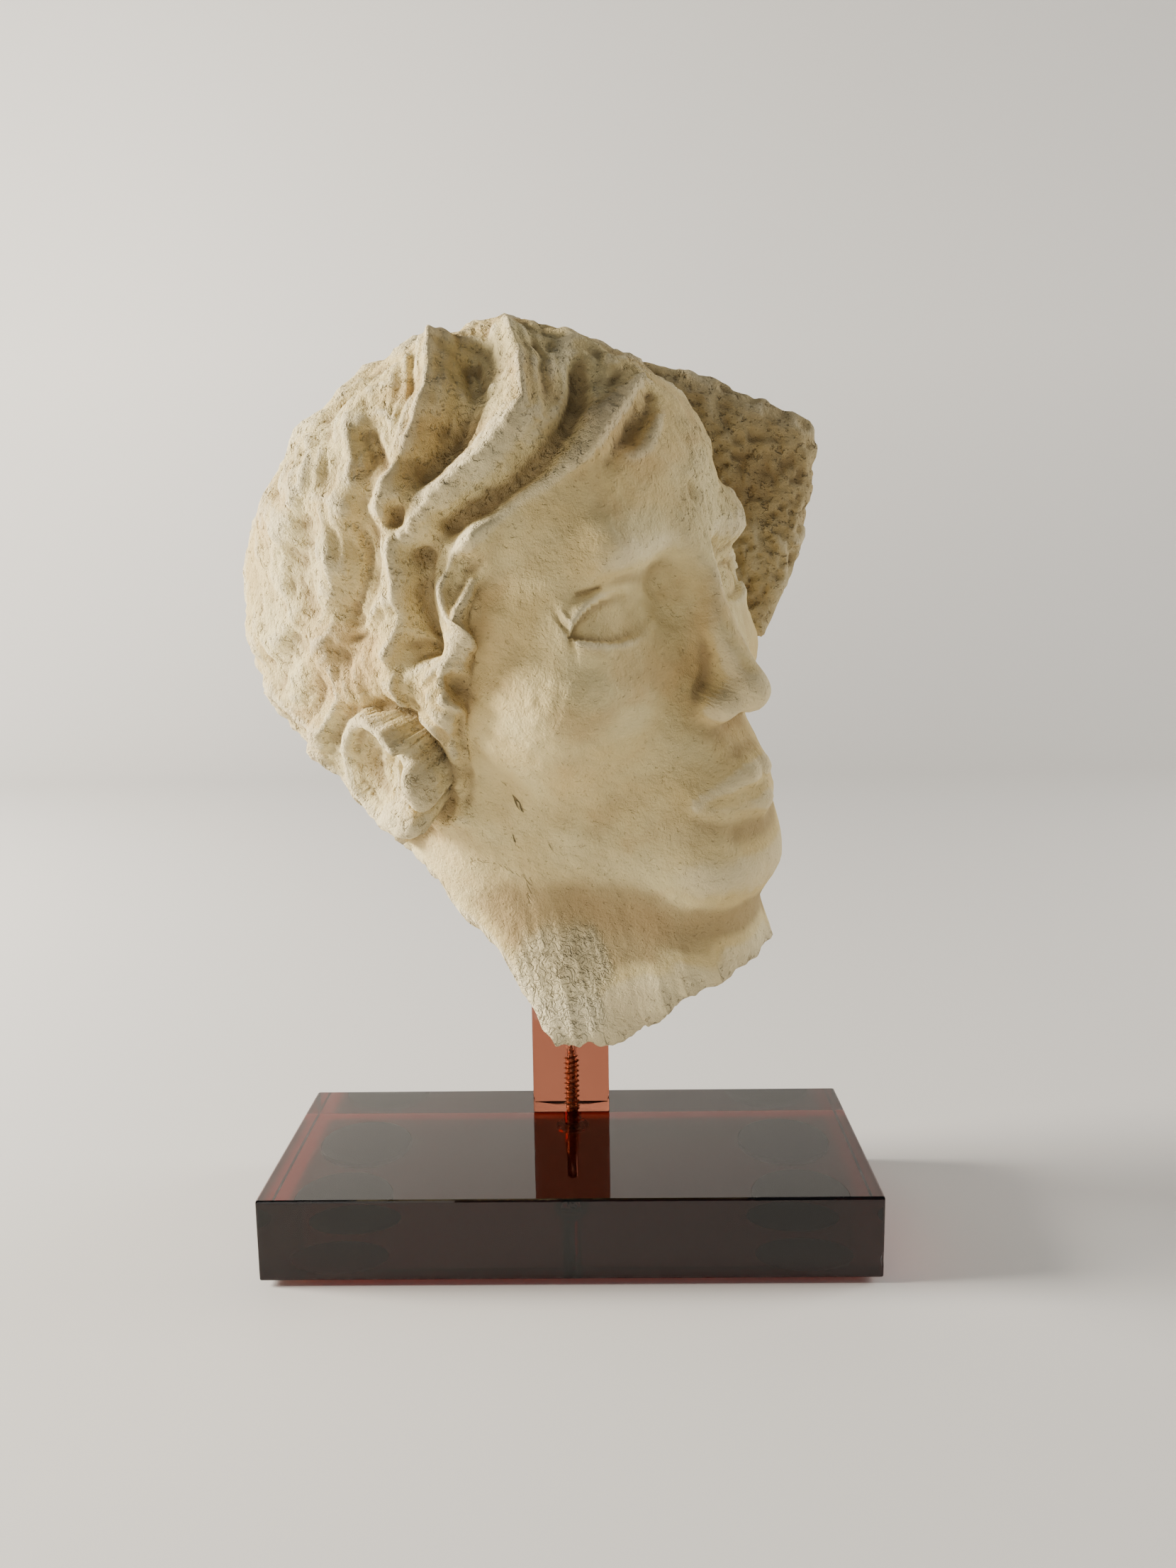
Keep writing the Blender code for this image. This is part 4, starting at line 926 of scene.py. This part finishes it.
def stoneFinish():
    # cream stone: pale and tan clouds, hollows darkened as dirt and painted shade, pale crests,
    # pits, cracks and seams
    board = NodeBoard("weatheredStone")
    hollow, hair, broken, scar, crack, seam, stump = (board.share(name) for name in (
        "hollow", "hair", "broken", "scar", "crackGap", "seamGap", "stump"))
    tones = stoneTones
    colour = board.blend(board.ramp(board.noise(26, 4), 0.38, 0.66), tones["cream"], tones["pale"])
    stain = board.ramp(board.noise(30, 3, 0.6, 0.4), 0.50, 0.68, 0.0, 0.55)
    colour = board.blend(stain, colour, tones["tan"])
    dull = board.ramp(board.noise(60, 4), 0.45, 0.7, 0.0, 0.4)
    colour = board.blend(dull, colour, tones["grey"])
    # the stump's darker ground tone is partly its own brown stone and partly painted shade
    for area, most, tone in ((broken, 0.45, "break"), (stump, 0.35, "ground"),
                             (scar, 0.8, "yellow")):
        colour = board.blend(board.maths("MULTIPLY", area, most), colour, tones[tone])
    # painted shade: the hollows are darkened towards the dirt tone, as dirt and as the shade that
    # falls in them
    dark = board.maths("MULTIPLY", board.ramp(hollow, 0.54, 1.0, 0.0, 0.7),
                       board.ramp(scar, 0.0, 1.0, 1.0, 0.35))
    colour = board.blend(dark, colour, tones["dirtAndShade"])
    colour = board.blend(board.ramp(hollow, 0.47, 0.15, 0.0, 0.45), colour, tones["crest"])
    rough = board.maths("MAXIMUM", board.maths("MAXIMUM", board.maths("MULTIPLY", hair, 0.7),
                                               broken), scar)
    # pits: the low parts of a fine noise, larger and deeper on hair and breaks, darkened as dirt
    # and painted shade
    small = board.ramp(board.noise(700, 2, 0.5), 0.37, 0.27)
    large = board.ramp(board.noise(330, 3, 0.6), 0.42, 0.30)
    small = board.maths("MULTIPLY", small, board.ramp(rough, 0.0, 1.0, 0.25, 0.8))
    large = board.maths("MULTIPLY", large, board.ramp(rough, 0.3, 1.0, 0.0, 1.0))
    pits = board.maths("MAXIMUM", small, large)
    colour = board.blend(board.maths("MULTIPLY", pits, board.ramp(broken, 0.0, 1.0, 0.22, 0.5)),
                         colour, tones["dirtAndShade"])
    openLine = board.maths("MULTIPLY", board.ramp(crack, 0.40, 0.10),
                           board.ramp(board.noise(160, 2), 0.36, 0.52))
    colour = board.blend(board.maths("MULTIPLY", openLine, 0.75), colour, tones["gap"])
    joint = board.ramp(seam, 0.45, 0.15)
    colour = board.blend(board.maths("MULTIPLY", joint, 0.45), colour, tones["grey"])
    board.join(colour, board.shader.inputs["Base Color"])
    board.shader.inputs["Roughness"].default_value = 0.88
    board.shader.inputs["Specular IOR Level"].default_value = 0.3
    # height in units of the bump distance: sugar grain, coarse grain, less the openings
    coarse = board.maths("MULTIPLY", board.noise(330, 5, 0.68),
                         board.ramp(rough, 0.0, 1.0, 0.85, 1.9))
    height = board.maths("ADD", coarse, board.maths("MULTIPLY", board.noise(1500, 3, 0.6), 0.2))
    # worm-like ridges on the neck's scar, where a soft noise is far from its middle value
    worms = board.maths("ABSOLUTE", board.maths("SUBTRACT", board.noise(430, 1, 0.4, 0.8), 0.5), 0)
    worms = board.maths("MULTIPLY", board.ramp(worms, 0.0, 0.11), scar)
    height = board.maths("ADD", height, board.maths("MULTIPLY", worms, 0.45))
    for opening, depth in ((pits, 0.8), (openLine, 1.0), (joint, 0.35)):
        height = board.maths("SUBTRACT", height, board.maths("MULTIPLY", opening, depth))
    board.raiseBy(height, 0.0012, 1.0)
    return board.finish


def acrylicFinish(name):
    # clear skin over a tinted body that darkens with depth, with faint wiping scratches
    board = NodeBoard(name)
    tint, density = acrylicTones[name]
    shader = board.shader
    shader.inputs["Base Color"].default_value = (1.0, 0.93, 0.90, 1.0)
    shader.inputs["Transmission Weight"].default_value = 1.0
    shader.inputs["IOR"].default_value = 1.49
    shader.inputs["Roughness"].default_value = 0.004
    board.raiseBy(board.ramp(board.noise(420, 2, 0.5, 3.0), 0.64, 0.74), 0.0003, 0.04)
    depth = board.add("ShaderNodeVolumeAbsorption")
    depth.inputs["Color"].default_value = (*tint, 1.0)
    depth.inputs["Density"].default_value = density
    board.join(depth.outputs["Volume"], board.output.inputs["Volume"])
    return board.finish


def screwFinish():
    board = NodeBoard("copperySteel")
    tone = board.ramp(board.noise(500, 3), 0.35, 0.7)
    colour = board.blend(tone, (0.80, 0.50, 0.36), (0.92, 0.70, 0.54))
    board.join(colour, board.shader.inputs["Base Color"])
    board.shader.inputs["Metallic"].default_value = 1.0
    board.join(board.ramp(board.noise(900, 3), 0.3, 0.7, 0.22, 0.42),
               board.shader.inputs["Roughness"])
    board.raiseBy(board.noise(1800, 2), 0.0001, 0.4)
    return board.finish


def padFinish():
    board = NodeBoard("darkPad")
    colour = board.blend(board.noise(2600, 3), (0.018, 0.015, 0.014), (0.05, 0.042, 0.038))
    board.join(colour, board.shader.inputs["Base Color"])
    board.shader.inputs["Roughness"].default_value = 0.9
    board.raiseBy(board.noise(3200, 3), 0.0002, 0.8)
    return board.finish


def softLamp(name, place, radius, power, colour):
    # a glowing ball: it has no edge that would draw a line on the backdrop
    lamp = bpy.data.lights.new(name, "POINT")
    lamp.shadow_soft_size = radius
    lamp.energy = power
    lamp.color = colour
    piece = bpy.data.objects.new(name, lamp)
    bpy.context.collection.objects.link(piece)
    piece.location = place


def lightStudio():
    # broad windows to the upper left and, weaker, to the right, both a little behind
    for lamp in lamps:
        softLamp(*lamp)
    world = bpy.data.worlds.new("softRoom")
    bpy.context.scene.world = world
    world.use_nodes = True
    sky = world.node_tree.nodes["Background"]
    sky.inputs["Color"].default_value = (*studioSizes["worldColour"], 1.0)
    sky.inputs["Strength"].default_value = studioSizes["worldStrength"]


def placeCamera():
    # the axes follow from yaw, then pitch, then roll about the line of sight
    yaw, down, roll = (math.radians(cameraSizes[name]) for name in ("yaw", "down", "roll"))
    ahead = Vector((math.sin(yaw) * math.cos(down), math.cos(yaw) * math.cos(down),
                    -math.sin(down)))
    right = Vector((math.cos(yaw), -math.sin(yaw), 0.0))
    up = right.cross(ahead)
    rolledRight = math.cos(roll) * right + math.sin(roll) * up
    rolledUp = -math.sin(roll) * right + math.cos(roll) * up
    view = Matrix((rolledRight, rolledUp, -ahead)).transposed().to_4x4()
    view.translation = (slabMiddle + cameraSizes["side"], slabLow.y - cameraSizes["front"],
                        slabHigh.z + cameraSizes["up"])
    lens = bpy.data.cameras.new("photoCamera")
    lens.sensor_width = cameraSizes["sensor"]
    lens.lens = cameraSizes["sensor"] * cameraSizes["focalPixels"] / cameraSizes["frameHeight"]
    lens.clip_start = 0.01
    piece = bpy.data.objects.new("photoCamera", lens)
    bpy.context.collection.objects.link(piece)
    piece.matrix_world = view
    bpy.context.scene.camera = piece


def dressNode(name, finish):
    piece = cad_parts[name]
    piece.data.materials.clear()
    piece.data.materials.append(finish)


makeStudio()
makeHead().data.materials.append(stoneFinish())
makeScrew().data.materials.append(screwFinish())
dark = padFinish()
makePost().data.materials.append(acrylicFinish("postAcrylic"))
dressNode("base_block", acrylicFinish("slabAcrylic"))
for disc in makePads():
    disc.data.materials.append(dark)
lightStudio()
placeCamera()
